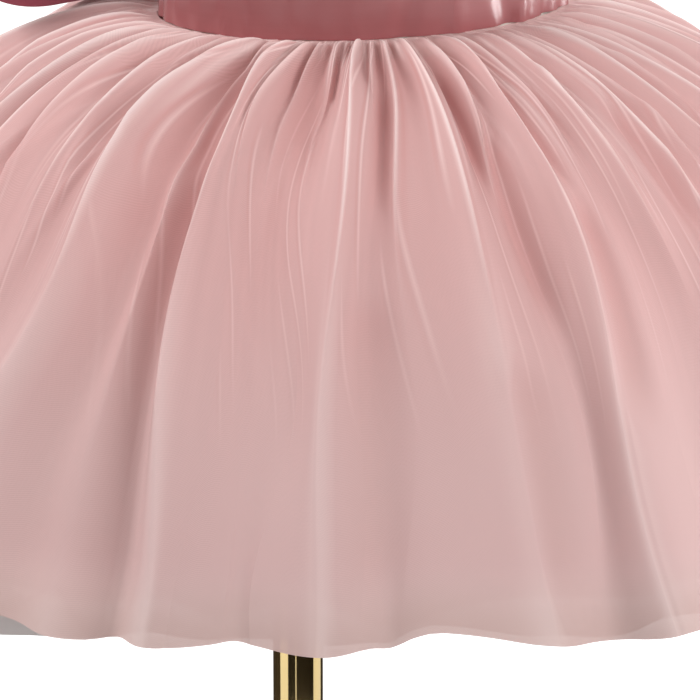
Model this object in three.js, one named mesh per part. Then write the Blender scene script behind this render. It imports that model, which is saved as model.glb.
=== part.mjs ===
// Toddler party dress on a limbless stand. Millimetres, +Z up.
// The origin is the centre of the stand's underside, on the pole's axis, and the dress faces -Y.
// Angles go round the body from the front, positive towards +X, in degrees.
import * as THREE from 'three';

// Driving dimensions
const WAIST_HEIGHT = 442;
const WAIST_FORWARD = 61;
const CLOTH_CLEARANCE = 0.7;
const SATIN_THICKNESS = 1.5;
const TULLE_THICKNESS = 1.3;
const STEEPEST_WALL = 0.55;
const SEAM_GAP = 0.3;
const SEAM_HALF_ANGLE = 0.1;

const SKIRT_LENGTH = 294;
const UNDERSKIRT_LENGTH = 271;
const SKIRT_SLOPE_AT_WAIST = 9;
const SKIRT_SLOPE_AT_HEM = 68;
const SKIRT_BEND_LENGTH = 120;
const SKIRT_BEND_POWER = 1.5;
const HEM_SET_BACK = 8;
const SIDE_DROOP = 8;
const SIDE_DROOP_LENGTH = 24;
const SIDE_DROOP_ANGLE = 60;

const UNDERARM_HEIGHT = 112;
const SHOULDER_TIP_HEIGHT = 197;
const SHOULDER_NECK_HEIGHT = 214;
const FRONT_NECK_HEIGHT = 150;
const BACK_NECK_HEIGHT = 176;
const NECK_HALF_WIDTH = 49;
const NECK_ROUNDNESS = 2.6;
const NECK_CORNER_RISE = 2;
const ARMHOLE_HALF_DEPTH = 33;
const ARMHOLE_ROUNDNESS = 0.75;

const BOW_BACK = 79.9;
const BOW_HEIGHT = 36;
const LOOP_LENGTH = 156;
const LOOP_HALF_DEPTH = 14;
const LOOP_HALF_HEIGHT = 33;
const LOOP_PINCH_HALF_HEIGHT = 11;
const LOOP_PINCH_LENGTH = 12;
const LOOP_FORWARD_BEND = 10;
const LOOP_SAG = 7;
const LOOP_END_LENGTH = 38;
const LOOP_END_ROUNDING = 0.72;
const LOOP_SPREAD_LENGTH = 95;
const LOOP_OPENING_LENGTH = 60;
const LOOP_PINCH_OPENING = 0.3;
const LOOP_END_INSIDE_BAND = 0.1;
const LOOP_CREASE = 1.6;
const LOOP_CREASE_LENGTH = 120;
const BAND_WIDTH = 20;
const BAND_HALF_HEIGHT = 13.2;
const BAND_HALF_DEPTH = 8;

const POLE_RADIUS = 11.5;
const BASE_RADIUS = 135;
const BASE_RIM_HEIGHT = 7;
const BOSS_RADIUS = 21;
const BOSS_HEIGHT = 30;
const CAP_RADIUS = 36;
const CAP_HEIGHT = 11;

// The stand's body, section by section: height from the waist, half width, half depth, set back
const BODY_SECTIONS = [
  { height: -135, halfWidth: 66, halfDepth: 50, back: 32 },
  { height: -122, halfWidth: 88, halfDepth: 67, back: 28 },
  { height: -95, halfWidth: 96, halfDepth: 76, back: 22 },
  { height: -60, halfWidth: 97, halfDepth: 77, back: 14 },
  { height: -30, halfWidth: 93.5, halfDepth: 73, back: 5 },
  { height: -14, halfWidth: 92.2, halfDepth: 71.2, back: 0.6 },
  { height: 0, halfWidth: 92, halfDepth: 71, back: 0 },
  { height: 40, halfWidth: 92, halfDepth: 71, back: -2 },
  { height: 80, halfWidth: 95, halfDepth: 72, back: 0 },
  { height: 120, halfWidth: 99, halfDepth: 71, back: 3 },
  { height: 150, halfWidth: 102, halfDepth: 68, back: 6 },
  { height: 175, halfWidth: 101, halfDepth: 60, back: 9 },
  { height: 195, halfWidth: 87, halfDepth: 49, back: 12 },
  { height: 208, halfWidth: 62, halfDepth: 42, back: 13 },
  { height: 220, halfWidth: 43, halfDepth: 39, back: 13 },
  { height: 245, halfWidth: 39, halfDepth: 38, back: 13 },
];

// The folds of the front, charted one by one. The reach is how far down the skirt a fold runs.
const FRONT_FOLDS = [
  { waist: -80, hem: -85, size: 1.0, reach: 1 },
  { waist: -74.5, hem: -77, size: 0.9, reach: 0.5 },
  { waist: -68.5, hem: -71, size: 1.0, reach: 0.65 },
  { waist: -57, hem: -66, size: 1.1, reach: 1 },
  { waist: -53.5, hem: -56, size: 0.8, reach: 0.6 },
  { waist: -49.5, hem: -47, size: 1.2, reach: 1 },
  { waist: -45.5, hem: -43.5, size: 0.8, reach: 0.6 },
  { waist: -42, hem: -41, size: 0.9, reach: 0.45 },
  { waist: -37, hem: -38.5, size: 0.8, reach: 0.3 },
  { waist: -31.5, hem: -35, size: 1.2, reach: 1 },
  { waist: -28.5, hem: -30, size: 0.7, reach: 0.25 },
  { waist: -25, hem: -25.5, size: 0.8, reach: 0.7 },
  { waist: -20.5, hem: -13.5, size: 1.0, reach: 1 },
  { waist: -14, hem: -7.5, size: 0.9, reach: 0.4 },
  { waist: -7, hem: 0, size: 1.2, reach: 1 },
  { waist: -1.5, hem: 5, size: 0.9, reach: 0.35 },
  { waist: 5, hem: 10.5, size: 1.0, reach: 0.6 },
  { waist: 13, hem: 19, size: 1.0, reach: 1 },
  { waist: 18.5, hem: 25.5, size: 0.8, reach: 0.45 },
  { waist: 24, hem: 32, size: 1.1, reach: 1 },
];

// The kinds of fold that take turns round the sides and the back
const TURNS = [
  { size: 0.8, reach: 0.35 },
  { size: 1.0, reach: 1 },
  { size: 0.9, reach: 0.6 },
  { size: 0.7, reach: 0.3 },
  { size: 1.1, reach: 1 },
];
const TURNING_FOLDS = 43;

// Heights of the folds at shares of the skirt's length, for folds that reach the hem and for others
const LONG_FOLD_HEIGHTS = [[0, 3], [0.06, 5.5], [0.15, 9], [0.3, 14], [0.6, 15], [1, 18]];
const SHORT_FOLD_HEIGHTS = [[0, 3], [0.06, 5.5], [0.15, 7.5], [0.3, 9], [1, 9]];
const INNER_FOLD_HEIGHTS = [[0, 3], [0.1, 4], [0.4, 6], [1, 7]];
const UNDER_FOLD_HEIGHTS = [[0, 2], [0.15, 4], [0.5, 12], [1, 24]];

const OUTER_ROWS = [0, 0.04, 0.09, 0.16, 0.25, 0.36, 0.49, 0.63, 0.77, 0.9, 1];
const INNER_ROWS = [0, 0.06, 0.16, 0.3, 0.48, 0.66, 0.84, 1];
const UNDER_ROWS = [0, 0.08, 0.2, 0.38, 0.58, 0.8, 1];
const BODICE_ROWS = [0, 22, 46, 72, 96, 112, 124, 137, 150, 158, 168, 180, 190, 197, 205, 211];
const BODICE_COLUMNS = 9;
const BODY_COLUMNS = 28;
const HIP_AND_NECK_RINGS = [-135, -122, -95, -60, -30, -14, 220, 245];

const satin = new THREE.MeshStandardMaterial({ color: 0xa8686b, roughness: 0.3, metalness: 0 });
const bowSatin = new THREE.MeshStandardMaterial({ color: 0x90404e, roughness: 0.35, metalness: 0 });
const tulle = new THREE.MeshStandardMaterial({ color: 0xd9a9a9, roughness: 0.8, metalness: 0 });
const lining = new THREE.MeshStandardMaterial({ color: 0xc98f90, roughness: 0.5, metalness: 0 });
const linen = new THREE.MeshStandardMaterial({ color: 0xe9e2d8, roughness: 0.9, metalness: 0 });
const brass = new THREE.MeshStandardMaterial({ color: 0xb08d4a, roughness: 0.2, metalness: 1 });

const radians = THREE.MathUtils.degToRad;
const degrees = THREE.MathUtils.radToDeg;
const smooth = (share) => THREE.MathUtils.smoothstep(share, 0, 1);

// A fixed uneven number from -1 to 1 for each whole number
function uneven(number) {
  return 0.6 * Math.sin(2.4 * number) + 0.4 * Math.sin(5.3 * number + 1);
}

// The value at a place in a table of [place, value] rows
function fromTable(table, place) {
  const last = table.findIndex((row) => row[0] >= place);
  if (last <= 0) return table[last < 0 ? table.length - 1 : 0][1];
  const [from, to] = [table[last - 1], table[last]];
  return THREE.MathUtils.mapLinear(place, from[0], to[0], from[1], to[1]);
}

function oval(halfWidth, halfDepth, angle) {
  const turn = radians(angle);
  return halfWidth * halfDepth / Math.hypot(halfDepth * Math.sin(turn), halfWidth * Math.cos(turn));
}

function aroundBody(radius, angle, back, height) {
  const turn = radians(angle);
  return new THREE.Vector3(radius * Math.sin(turn), back - radius * Math.cos(turn), height);
}

// Closed solid from triangles on shared corners, turned so that its faces point out
function solidFrom(corners, faces) {
  let volume = 0;
  for (const [a, b, c] of faces) {
    volume += corners[a].dot(corners[b].clone().cross(corners[c]));
  }
  const turned = volume < 0 ? faces.map(([a, b, c]) => [a, c, b]) : faces;
  const geometry = new THREE.BufferGeometry();
  const positions = corners.flatMap((corner) => corner.toArray());
  geometry.setAttribute('position', new THREE.Float32BufferAttribute(positions, 3));
  geometry.setIndex(turned.flat());
  geometry.computeVertexNormals();
  return geometry;
}

// Cloth wall from patches of [outside, inside] point pairs. Edges that patches share are joined,
// and every free edge gets a rim.
function clothWall(patches) {
  const outside = [];
  const inside = [];
  const numbers = new Map();
  const skin = [];
  const number = ([outer, inner]) => {
    const key = outer.toArray().map((value) => value.toFixed(3)).join();
    if (!numbers.has(key)) {
      numbers.set(key, outside.length);
      outside.push(outer);
      inside.push(inner);
    }
    return numbers.get(key);
  };
  for (const { rows, turned } of patches) {
    const grid = rows.map((row) => row.map(number));
    for (let row = 1; row < grid.length; row += 1) {
      for (let column = 1; column < grid[row].length; column += 1) {
        const a = grid[row - 1][column - 1];
        const b = grid[row - 1][column];
        const c = grid[row][column];
        const d = grid[row][column - 1];
        const alongAC = outside[a].distanceTo(outside[c]) < outside[b].distanceTo(outside[d]);
        const pair = alongAC ? [[a, b, c], [a, c, d]] : [[a, b, d], [b, c, d]];
        skin.push(...pair.map(([p, q, r]) => (turned ? [p, r, q] : [p, q, r])));
      }
    }
  }
  const edges = new Set(skin.flatMap(([a, b, c]) => [`${a} ${b}`, `${b} ${c}`, `${c} ${a}`]));
  const count = outside.length;
  const faces = [...skin, ...skin.map(([a, b, c]) => [c + count, b + count, a + count])];
  for (const edge of edges) {
    const [from, to] = edge.split(' ').map(Number);
    if (!edges.has(`${to} ${from}`)) {
      faces.push([to, from, from + count], [to, from + count, to + count]);
    }
  }
  return solidFrom([...outside, ...inside], faces);
}

// Solid through closed rings of points, with a flat end on the first ring and the last
function ringSolid(rings) {
  const corners = rings.flat();
  const sides = rings[0].length;
  const faces = [];
  for (let ring = 1; ring < rings.length; ring += 1) {
    for (let side = 0; side < sides; side += 1) {
      const next = (side + 1) % sides;
      const low = (ring - 1) * sides;
      const high = ring * sides;
      faces.push([low + side, low + next, high + next], [low + side, high + next, high + side]);
    }
  }
  const last = (rings.length - 1) * sides;
  for (let side = 1; side < sides - 1; side += 1) {
    faces.push([0, side + 1, side], [last, last + side, last + side + 1]);
  }
  return solidFrom(corners, faces);
}

// The section of the stand's body at a height, on a smooth curve through the table
function bodySection(height) {
  const found = BODY_SECTIONS.findIndex((section) => section.height >= height);
  const next = Math.max(1, found < 0 ? BODY_SECTIONS.length - 1 : found);
  const at = (place) => BODY_SECTIONS[THREE.MathUtils.clamp(place, 0, BODY_SECTIONS.length - 1)];
  const span = at(next).height - at(next - 1).height;
  const share = (height - at(next - 1).height) / span;
  const curve = (name) => {
    const slopeAt = (place) => (at(place + 1)[name] - at(place - 1)[name])
      / (at(place + 1).height - at(place - 1).height);
    const [from, to] = [at(next - 1)[name], at(next)[name]];
    const [start, end] = [slopeAt(next - 1) * span, slopeAt(next) * span];
    const cube = share ** 3;
    const square = share ** 2;
    return (2 * cube - 3 * square + 1) * from + (cube - 2 * square + share) * start
      + (3 * square - 2 * cube) * to + (cube - square) * end;
  };
  return { halfWidth: curve('halfWidth'), halfDepth: curve('halfDepth'), back: curve('back') };
}

// A point of the body. The turn is the oval section's own, which crowds points at its tight ends.
function bodyPoint(height, turn) {
  const { halfWidth, halfDepth, back } = bodySection(height);
  const round = radians(turn);
  return new THREE.Vector3(
    halfWidth * Math.sin(round), back - halfDepth * Math.cos(round), height,
  );
}

// A point lifted off the body's surface, square to it
function offBody(height, turn, lift) {
  const step = 0.5;
  const round = bodyPoint(height, turn + step).sub(bodyPoint(height, turn - step));
  const rise = bodyPoint(height + step, turn).sub(bodyPoint(height - step, turn));
  return bodyPoint(height, turn).addScaledVector(round.cross(rise).normalize(), lift);
}

function body() {
  const heights = [...HIP_AND_NECK_RINGS, ...BODICE_ROWS];
  heights.sort((low, high) => low - high);
  return ringSolid(heights.map((height) => Array.from(
    { length: BODY_COLUMNS },
    (unused, side) => bodyPoint(height, 360 * side / BODY_COLUMNS),
  )));
}

// Neckline as a turn from the centre line at a height
function neckTurn(height, neckHeight) {
  if (height <= neckHeight) return 0;
  const rise = (height - neckHeight) / (SHOULDER_NECK_HEIGHT - neckHeight);
  const across = NECK_HALF_WIDTH * (1 - (1 - rise) ** NECK_ROUNDNESS) ** (1 / NECK_ROUNDNESS);
  return degrees(Math.asin(across / bodySection(height).halfWidth));
}

// Armhole as a turn from the centre line at a height
function armTurn(height) {
  if (height <= UNDERARM_HEIGHT || height >= SHOULDER_TIP_HEIGHT) return 90 - SEAM_HALF_ANGLE;
  const rise = (height - UNDERARM_HEIGHT) / (SHOULDER_TIP_HEIGHT - UNDERARM_HEIGHT);
  const deep = ARMHOLE_HALF_DEPTH * Math.sin(Math.PI * rise) ** ARMHOLE_ROUNDNESS;
  return degrees(Math.acos(deep / bodySection(height).halfDepth));
}

// Half of a bodice panel, from its centre line to the side seam, armhole and shoulder seam
function bodicePatch(side, isBack) {
  const neckHeight = isBack ? BACK_NECK_HEIGHT : FRONT_NECK_HEIGHT;
  const heights = [...new Set([...BODICE_ROWS, neckHeight, neckHeight + NECK_CORNER_RISE])];
  heights.sort((low, high) => low - high);
  const rows = heights.map((height) => {
    const centre = Math.max(neckTurn(height, neckHeight), isBack ? SEAM_HALF_ANGLE : 0);
    const edge = armTurn(height);
    return Array.from({ length: BODICE_COLUMNS + 1 }, (unused, column) => {
      const reach = THREE.MathUtils.lerp(centre, edge, column / BODICE_COLUMNS);
      const turn = side * (isBack ? 180 - reach : reach);
      return [
        offBody(height, turn, CLOTH_CLEARANCE + SATIN_THICKNESS),
        offBody(height, turn, CLOTH_CLEARANCE),
      ];
    });
  });
  return { rows, turned: (side < 0) !== isBack };
}

// The skirt's line from the waist seam: how far out and down it is at a length along the cloth
const PROFILE_STEP = 1;
const profile = [{ out: 0, drop: 0 }];
function skirtSlope(length) {
  const bend = 1 - Math.exp(-((length / SKIRT_BEND_LENGTH) ** SKIRT_BEND_POWER));
  return THREE.MathUtils.lerp(SKIRT_SLOPE_AT_WAIST, SKIRT_SLOPE_AT_HEM, bend);
}
for (let length = 0; length < SKIRT_LENGTH; length += PROFILE_STEP) {
  const slope = radians(skirtSlope(length + PROFILE_STEP / 2));
  const { out, drop } = profile.at(-1);
  const step = PROFILE_STEP;
  profile.push({ out: out + step * Math.cos(slope), drop: drop + step * Math.sin(slope) });
}

// Folds round the whole skirt: the charted front ones, and the rule for the sides and the back
function allFolds() {
  const first = FRONT_FOLDS.at(-1);
  const last = FRONT_FOLDS[0];
  const folds = [...FRONT_FOLDS];
  for (let place = 1; place <= TURNING_FOLDS; place += 1) {
    const share = (place + 0.28 * uneven(place)) / (TURNING_FOLDS + 1);
    const { size, reach } = TURNS[(place - 1) % TURNS.length];
    folds.push({
      waist: THREE.MathUtils.lerp(first.waist, last.waist + 360, share),
      hem: THREE.MathUtils.lerp(first.hem, last.hem + 360, share),
      size: size * (1 + 0.15 * uneven(place + 7)),
      reach,
    });
  }
  return folds;
}

// Evenly turning folds for the layers inside, each a little out of step
function innerFolds(count, shift) {
  return Array.from({ length: count }, (unused, place) => {
    const waist = -80 + (place + shift + 0.25 * uneven(place + count)) * 360 / count;
    return { waist, hem: waist, size: 1 + 0.12 * uneven(place + 3), reach: 1 };
  });
}

// Gives each fold the distance to its neighbours, near ones at the waist and lasting ones below
function withNeighbours(folds) {
  const beside = (place, step, reach) => {
    let next = place;
    let turns = 0;
    do {
      next += step;
      turns = Math.floor(next / folds.length);
    } while (folds[next - turns * folds.length].reach < reach);
    return Math.abs(folds[next - turns * folds.length].waist + 360 * turns - folds[place].waist);
  };
  return folds.map((fold, place) => ({
    ...fold,
    near: [beside(place, -1, 0), beside(place, 1, 0)],
    far: [beside(place, -1, Math.min(fold.reach, 0.9)), beside(place, 1, Math.min(fold.reach, 0.9))],
  }));
}

const FOLD_WIDTH_AT_WAIST = 0.52;
const FOLD_WIDTH_BELOW = 0.62;
const WIDENING_SHARE = 0.4;
const FADE_START = 0.5;
const FADE_SPAN = 0.6;
const DRIFT_POWER = 0.7;
const SETTLING_POWER = 1.5;

// Height of the folds above the layer's lowest line
function foldHeight(layer, angle, share) {
  const widening = smooth(share / WIDENING_SHARE);
  let total = 0;
  for (const fold of layer.folds) {
    let away = (angle - fold.waist) % 360;
    if (away > 180) away -= 360;
    if (away < -180) away += 360;
    const side = away < 0 ? 0 : 1;
    const width = THREE.MathUtils.lerp(
      FOLD_WIDTH_AT_WAIST * fold.near[side],
      FOLD_WIDTH_BELOW * fold.far[side],
      widening,
    );
    if (Math.abs(away) < width) {
      const short = fold.reach < 1;
      const faded = smooth((share / fold.reach - FADE_START) / FADE_SPAN);
      const high = fromTable(short ? layer.shortHeights : layer.longHeights, share);
      const rounded = Math.cos(Math.PI * away / width / 2) ** 2;
      total += (short ? 1 - faded : 1) * high * fold.size * rounded;
    }
  }
  return total;
}

// The angle at which a thread of cloth lies, lower down the skirt
function driftedAngle(layer, angle, share) {
  const { folds } = layer;
  const turns = Math.floor((angle - folds[0].waist) / 360);
  const local = angle - 360 * turns;
  let place = folds.findLastIndex((fold) => fold.waist <= local + 1e-9);
  place = Math.max(place, 0);
  const from = folds[place];
  const wraps = place === folds.length - 1;
  const to = wraps ? folds[0] : folds[place + 1];
  const added = wraps ? 360 : 0;
  const hem = THREE.MathUtils.mapLinear(
    local, from.waist, to.waist + added, from.hem, to.hem + added,
  );
  return angle + (hem - local) * share ** DRIFT_POWER;
}

const LAYERS = {
  outer: {
    length: SKIRT_LENGTH,
    folds: withNeighbours(allFolds()),
    longHeights: LONG_FOLD_HEIGHTS,
    shortHeights: SHORT_FOLD_HEIGHTS,
    start: 0.2,
    depths: [[0, 3.6], [0.06, 0], [1, 0]],
    thickness: TULLE_THICKNESS,
    threads: [0, 0.5],
    rows: OUTER_ROWS,
  },
  inner: {
    length: SKIRT_LENGTH,
    folds: withNeighbours(innerFolds(32, 0.5)),
    longHeights: INNER_FOLD_HEIGHTS,
    start: 2,
    depths: [[0, 9.2], [0.1, 9.5], [1, 11]],
    thickness: TULLE_THICKNESS,
    threads: [0, 0.5],
    rows: INNER_ROWS,
  },
  under: {
    length: UNDERSKIRT_LENGTH,
    folds: withNeighbours(innerFolds(16, 0.2)),
    longHeights: UNDER_FOLD_HEIGHTS,
    start: 3.6,
    depths: [[0, 13.6], [0.15, 18], [0.5, 28], [1, 42]],
    thickness: SATIN_THICKNESS,
    threads: [0, 0.25, 0.5, 0.75],
    rows: UNDER_ROWS,
  },
};

function skirtPoint(layer, angle, share, inward) {
  const along = share * layer.length;
  const place = Math.min(Math.floor(along / PROFILE_STEP), profile.length - 2);
  const between = along / PROFILE_STEP - place;
  const out = THREE.MathUtils.lerp(profile[place].out, profile[place + 1].out, between);
  const drop = THREE.MathUtils.lerp(profile[place].drop, profile[place + 1].drop, between);
  const lift = foldHeight(layer, angle, share) - fromTable(layer.depths, share) - inward;
  const lean = radians(90 - skirtSlope(along)) * (1 - share ** SETTLING_POWER);
  const turned = driftedAngle(layer, angle, share);
  const radius = waistRadius(turned) + layer.start + out + lift * Math.cos(lean);
  const droop = SIDE_DROOP * Math.max(0, Math.cos(radians(turned - SIDE_DROOP_ANGLE)))
    * (1 - Math.exp(-along / SIDE_DROOP_LENGTH));
  const height = -SEAM_GAP - drop + lift * Math.sin(lean) - droop;
  return aroundBody(radius, turned, HEM_SET_BACK * share ** SETTLING_POWER, height);
}

// Radius of the bodice's outside at the waist seam
function waistRadius(angle) {
  const { halfWidth, halfDepth } = bodySection(0);
  const cloth = CLOTH_CLEARANCE + SATIN_THICKNESS;
  return oval(halfWidth + cloth, halfDepth + cloth, angle);
}

// How far inward the wall's inside lies, so that it is as thick on a fold's flank as on its crest
function wallDepth(layer, angle, share) {
  const step = 0.2;
  const before = skirtPoint(layer, angle - step, share, 0);
  const after = skirtPoint(layer, angle + step, share, 0);
  const apart = after.distanceTo(before);
  const climb = foldHeight(layer, angle + step, share) - foldHeight(layer, angle - step, share);
  const facing = Math.sqrt(Math.max(0, 1 - (climb / apart) ** 2));
  return layer.thickness / Math.max(facing, STEEPEST_WALL);
}

// One panel of a skirt layer between the side seams, with threads on its crests and valleys
function skirtPanel(layer, isBack) {
  const [from, to] = isBack ? [90, 270] : [-90, 90];
  const threads = layer.folds
    .flatMap(({ waist, near }) => layer.threads.map((place) => waist + place * near[1]))
    .map((angle) => (angle < from ? angle + 360 : angle))
    .filter((angle) => angle > from + 1 && angle < to - 1)
    .sort((low, high) => low - high);
  const angles = [from + SEAM_HALF_ANGLE, ...threads, to - SEAM_HALF_ANGLE];
  const rows = layer.rows.map((share) => angles.map((angle) => [
    skirtPoint(layer, angle, share, 0),
    skirtPoint(layer, angle, share, wallDepth(layer, angle, share)),
  ]));
  return clothWall([{ rows, turned: false }]);
}

// The bow's loop: a strip that leaves the band, turns round at its end and comes back
const LOOP_STEPS = 22;
const LOOP_ROWS = 5;
function loopPoint(side, share, across, inward) {
  const turn = THREE.MathUtils.lerp(
    LOOP_END_INSIDE_BAND, 2 * Math.PI - LOOP_END_INSIDE_BAND, share,
  );
  const out = LOOP_LENGTH / 2 * (1 - Math.cos(turn));
  const spread = smooth((out - LOOP_PINCH_LENGTH) / LOOP_SPREAD_LENGTH);
  const pastEnd = Math.max(0, (out - LOOP_LENGTH + LOOP_END_LENGTH) / LOOP_END_LENGTH);
  const halfHeight = THREE.MathUtils.lerp(LOOP_PINCH_HALF_HEIGHT, LOOP_HALF_HEIGHT, spread)
    * Math.sqrt(1 - LOOP_END_ROUNDING * pastEnd ** 2);
  const open = THREE.MathUtils.lerp(LOOP_PINCH_OPENING, 1, smooth(out / LOOP_OPENING_LENGTH));
  const crease = LOOP_CREASE * Math.cos(3 * Math.PI * across)
    * (1 - smooth(out / LOOP_CREASE_LENGTH));
  const fullness = (LOOP_HALF_DEPTH - inward) * open * Math.sin(turn) + crease * Math.sin(turn);
  return new THREE.Vector3(
    side * (out - inward * Math.max(0, -Math.cos(turn))),
    -fullness - LOOP_FORWARD_BEND * (out / LOOP_LENGTH) ** 2,
    across * halfHeight - LOOP_SAG * (out / LOOP_LENGTH) ** 3,
  );
}

function bowLoop(side) {
  const rows = Array.from({ length: LOOP_ROWS + 1 }, (unused, row) => Array.from(
    { length: LOOP_STEPS + 1 },
    (alsoUnused, step) => {
      const across = 2 * row / LOOP_ROWS - 1;
      const share = step / LOOP_STEPS;
      return [loopPoint(side, share, across, 0), loopPoint(side, share, across, SATIN_THICKNESS)];
    },
  ));
  return clothWall([{ rows, turned: side < 0 }]);
}

// The band round the bow's middle, a short tube with rounded corners
const BAND_STEPS = 24;
function bowBand() {
  const rounding = 0.5;
  const bandPoint = (across, turn, inward) => {
    const round = (value) => Math.sign(value) * Math.abs(value) ** rounding;
    return new THREE.Vector3(
      across,
      (BAND_HALF_DEPTH - inward) * round(Math.cos(turn)),
      (BAND_HALF_HEIGHT - inward) * round(Math.sin(turn)),
    );
  };
  const rows = [-1, -0.4, 0.4, 1].map((place) => Array.from(
    { length: BAND_STEPS + 1 },
    (unused, step) => {
      const turn = 2 * Math.PI * (step % BAND_STEPS) / BAND_STEPS;
      const across = place * BAND_WIDTH / 2;
      const crown = Math.abs(place) === 1 ? 0.5 : 0;
      return [bandPoint(across, turn, crown), bandPoint(across, turn, SATIN_THICKNESS)];
    },
  ));
  return clothWall([{ rows, turned: false }]);
}

// Round solids turned about +Z from a profile of [radius, height] rows
function turnedSolid(outline) {
  const geometry = new THREE.LatheGeometry(outline.map(([x, y]) => new THREE.Vector2(x, y)), 36);
  return geometry.rotateX(Math.PI / 2);
}

function base() {
  return turnedSolid([
    [0, 0],
    [BASE_RADIUS - 2, 0],
    [BASE_RADIUS, 2],
    [BASE_RADIUS, BASE_RIM_HEIGHT - 2],
    [BASE_RADIUS - 3, BASE_RIM_HEIGHT],
    [BOSS_RADIUS + 12, BASE_RIM_HEIGHT + 4],
    [BOSS_RADIUS + 2, BASE_RIM_HEIGHT + 9],
    [BOSS_RADIUS, BASE_RIM_HEIGHT + 15],
    [BOSS_RADIUS, BOSS_HEIGHT - 2],
    [BOSS_RADIUS - 2, BOSS_HEIGHT],
    [0, BOSS_HEIGHT],
  ]);
}

function pole() {
  const top = WAIST_HEIGHT + BODY_SECTIONS[0].height - SEAM_GAP;
  const bottom = BOSS_HEIGHT + SEAM_GAP;
  return turnedSolid([[0, bottom], [POLE_RADIUS, bottom], [POLE_RADIUS, top], [0, top]]);
}

function neckCap() {
  return turnedSolid([
    [0, 0],
    [CAP_RADIUS, 0],
    [CAP_RADIUS, CAP_HEIGHT - 5],
    [CAP_RADIUS - 3, CAP_HEIGHT - 2],
    [CAP_RADIUS - 12, CAP_HEIGHT],
    [0, CAP_HEIGHT],
  ]);
}

function named(name, geometry, material) {
  const mesh = new THREE.Mesh(geometry, material);
  mesh.name = name;
  return mesh;
}

// The dress hangs from the waist's centre, so its group stands there
const dress = new THREE.Group();
dress.position.set(0, -WAIST_FORWARD, WAIST_HEIGHT);
dress.add(
  named('bodice_front', clothWall([bodicePatch(-1, false), bodicePatch(1, false)]), satin),
  named('bodice_back_left', clothWall([bodicePatch(-1, true)]), satin),
  named('bodice_back_right', clothWall([bodicePatch(1, true)]), satin),
  named('overskirt_front', skirtPanel(LAYERS.outer, false), tulle),
  named('overskirt_back', skirtPanel(LAYERS.outer, true), tulle),
  named('second_skirt_front', skirtPanel(LAYERS.inner, false), tulle),
  named('second_skirt_back', skirtPanel(LAYERS.inner, true), tulle),
  named('underskirt_front', skirtPanel(LAYERS.under, false), lining),
  named('underskirt_back', skirtPanel(LAYERS.under, true), lining),
  named('stand_body', body(), linen),
);

const bow = new THREE.Group();
bow.position.set(0, BOW_BACK, BOW_HEIGHT);
bow.add(
  named('bow_loop_left', bowLoop(-1), bowSatin),
  named('bow_loop_right', bowLoop(1), bowSatin),
  named('bow_band', bowBand(), bowSatin),
);
dress.add(bow);

const cap = named('stand_neck_cap', neckCap(), brass);
const neck = BODY_SECTIONS.at(-1);
cap.position.set(0, neck.back, neck.height + SEAM_GAP);
dress.add(cap);

const group = new THREE.Group();
group.add(dress, named('stand_pole', pole(), brass), named('stand_base', base(), brass));

export default group;
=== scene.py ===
"""A toddler's party dress on a limbless stand: satin bodice, tulle skirts, satin underskirt and bow."""
import math

import bpy
import numpy as np
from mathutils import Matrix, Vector


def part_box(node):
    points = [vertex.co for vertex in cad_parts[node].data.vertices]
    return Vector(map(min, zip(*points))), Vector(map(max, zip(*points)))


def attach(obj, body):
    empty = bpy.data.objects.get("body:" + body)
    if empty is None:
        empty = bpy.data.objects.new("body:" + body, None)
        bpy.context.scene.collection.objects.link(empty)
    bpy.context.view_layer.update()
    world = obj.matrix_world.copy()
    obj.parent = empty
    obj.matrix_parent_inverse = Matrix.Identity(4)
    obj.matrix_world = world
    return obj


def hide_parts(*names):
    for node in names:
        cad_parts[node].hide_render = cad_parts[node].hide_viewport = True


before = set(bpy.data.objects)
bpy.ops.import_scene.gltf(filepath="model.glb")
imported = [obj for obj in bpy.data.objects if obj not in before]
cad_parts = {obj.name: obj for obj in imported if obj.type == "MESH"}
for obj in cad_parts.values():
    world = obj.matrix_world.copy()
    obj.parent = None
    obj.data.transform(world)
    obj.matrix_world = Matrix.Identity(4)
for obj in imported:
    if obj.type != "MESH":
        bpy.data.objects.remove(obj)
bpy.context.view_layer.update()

bl_info = {
    "name": "Toddler Party Dress",
    "version": (1, 0, 0),
    "blender": (4, 5, 0),
    "location": "View3D > Sidebar > Party Dress",
    "description": "Makes a gathered tulle party dress on its stand, with a small photo studio",
    "category": "Add Mesh",
}

BODY = "root"

# Places and sizes read from the frame; the bodice starts at the waist seam
WAIST_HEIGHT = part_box("bodice_front")[0].z
BAND_LOW, BAND_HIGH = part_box("bow_band")
POLE_LOW, POLE_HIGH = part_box("stand_pole")
BASE_LOW, BASE_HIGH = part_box("stand_base")
CAP_LOW, CAP_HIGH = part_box("stand_neck_cap")

# The waist's centre on the Y axis
WAIST_FORWARD = -0.061

# Degrees from the front to the seams that join the front widths to the back ones
SIDE_SEAM = 90.0

# Rounded radii that turn degrees into lengths round the dress: at the waist seam, on the bodice, and
# for the net's second map
WAIST_RADIUS = 0.085
BODICE_RADIUS = 0.083
NET_RADIUS = 0.094

# From the stand's body to the bodice's outside at the waist seam
BODICE_OFF_BODY = 0.0022

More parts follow.
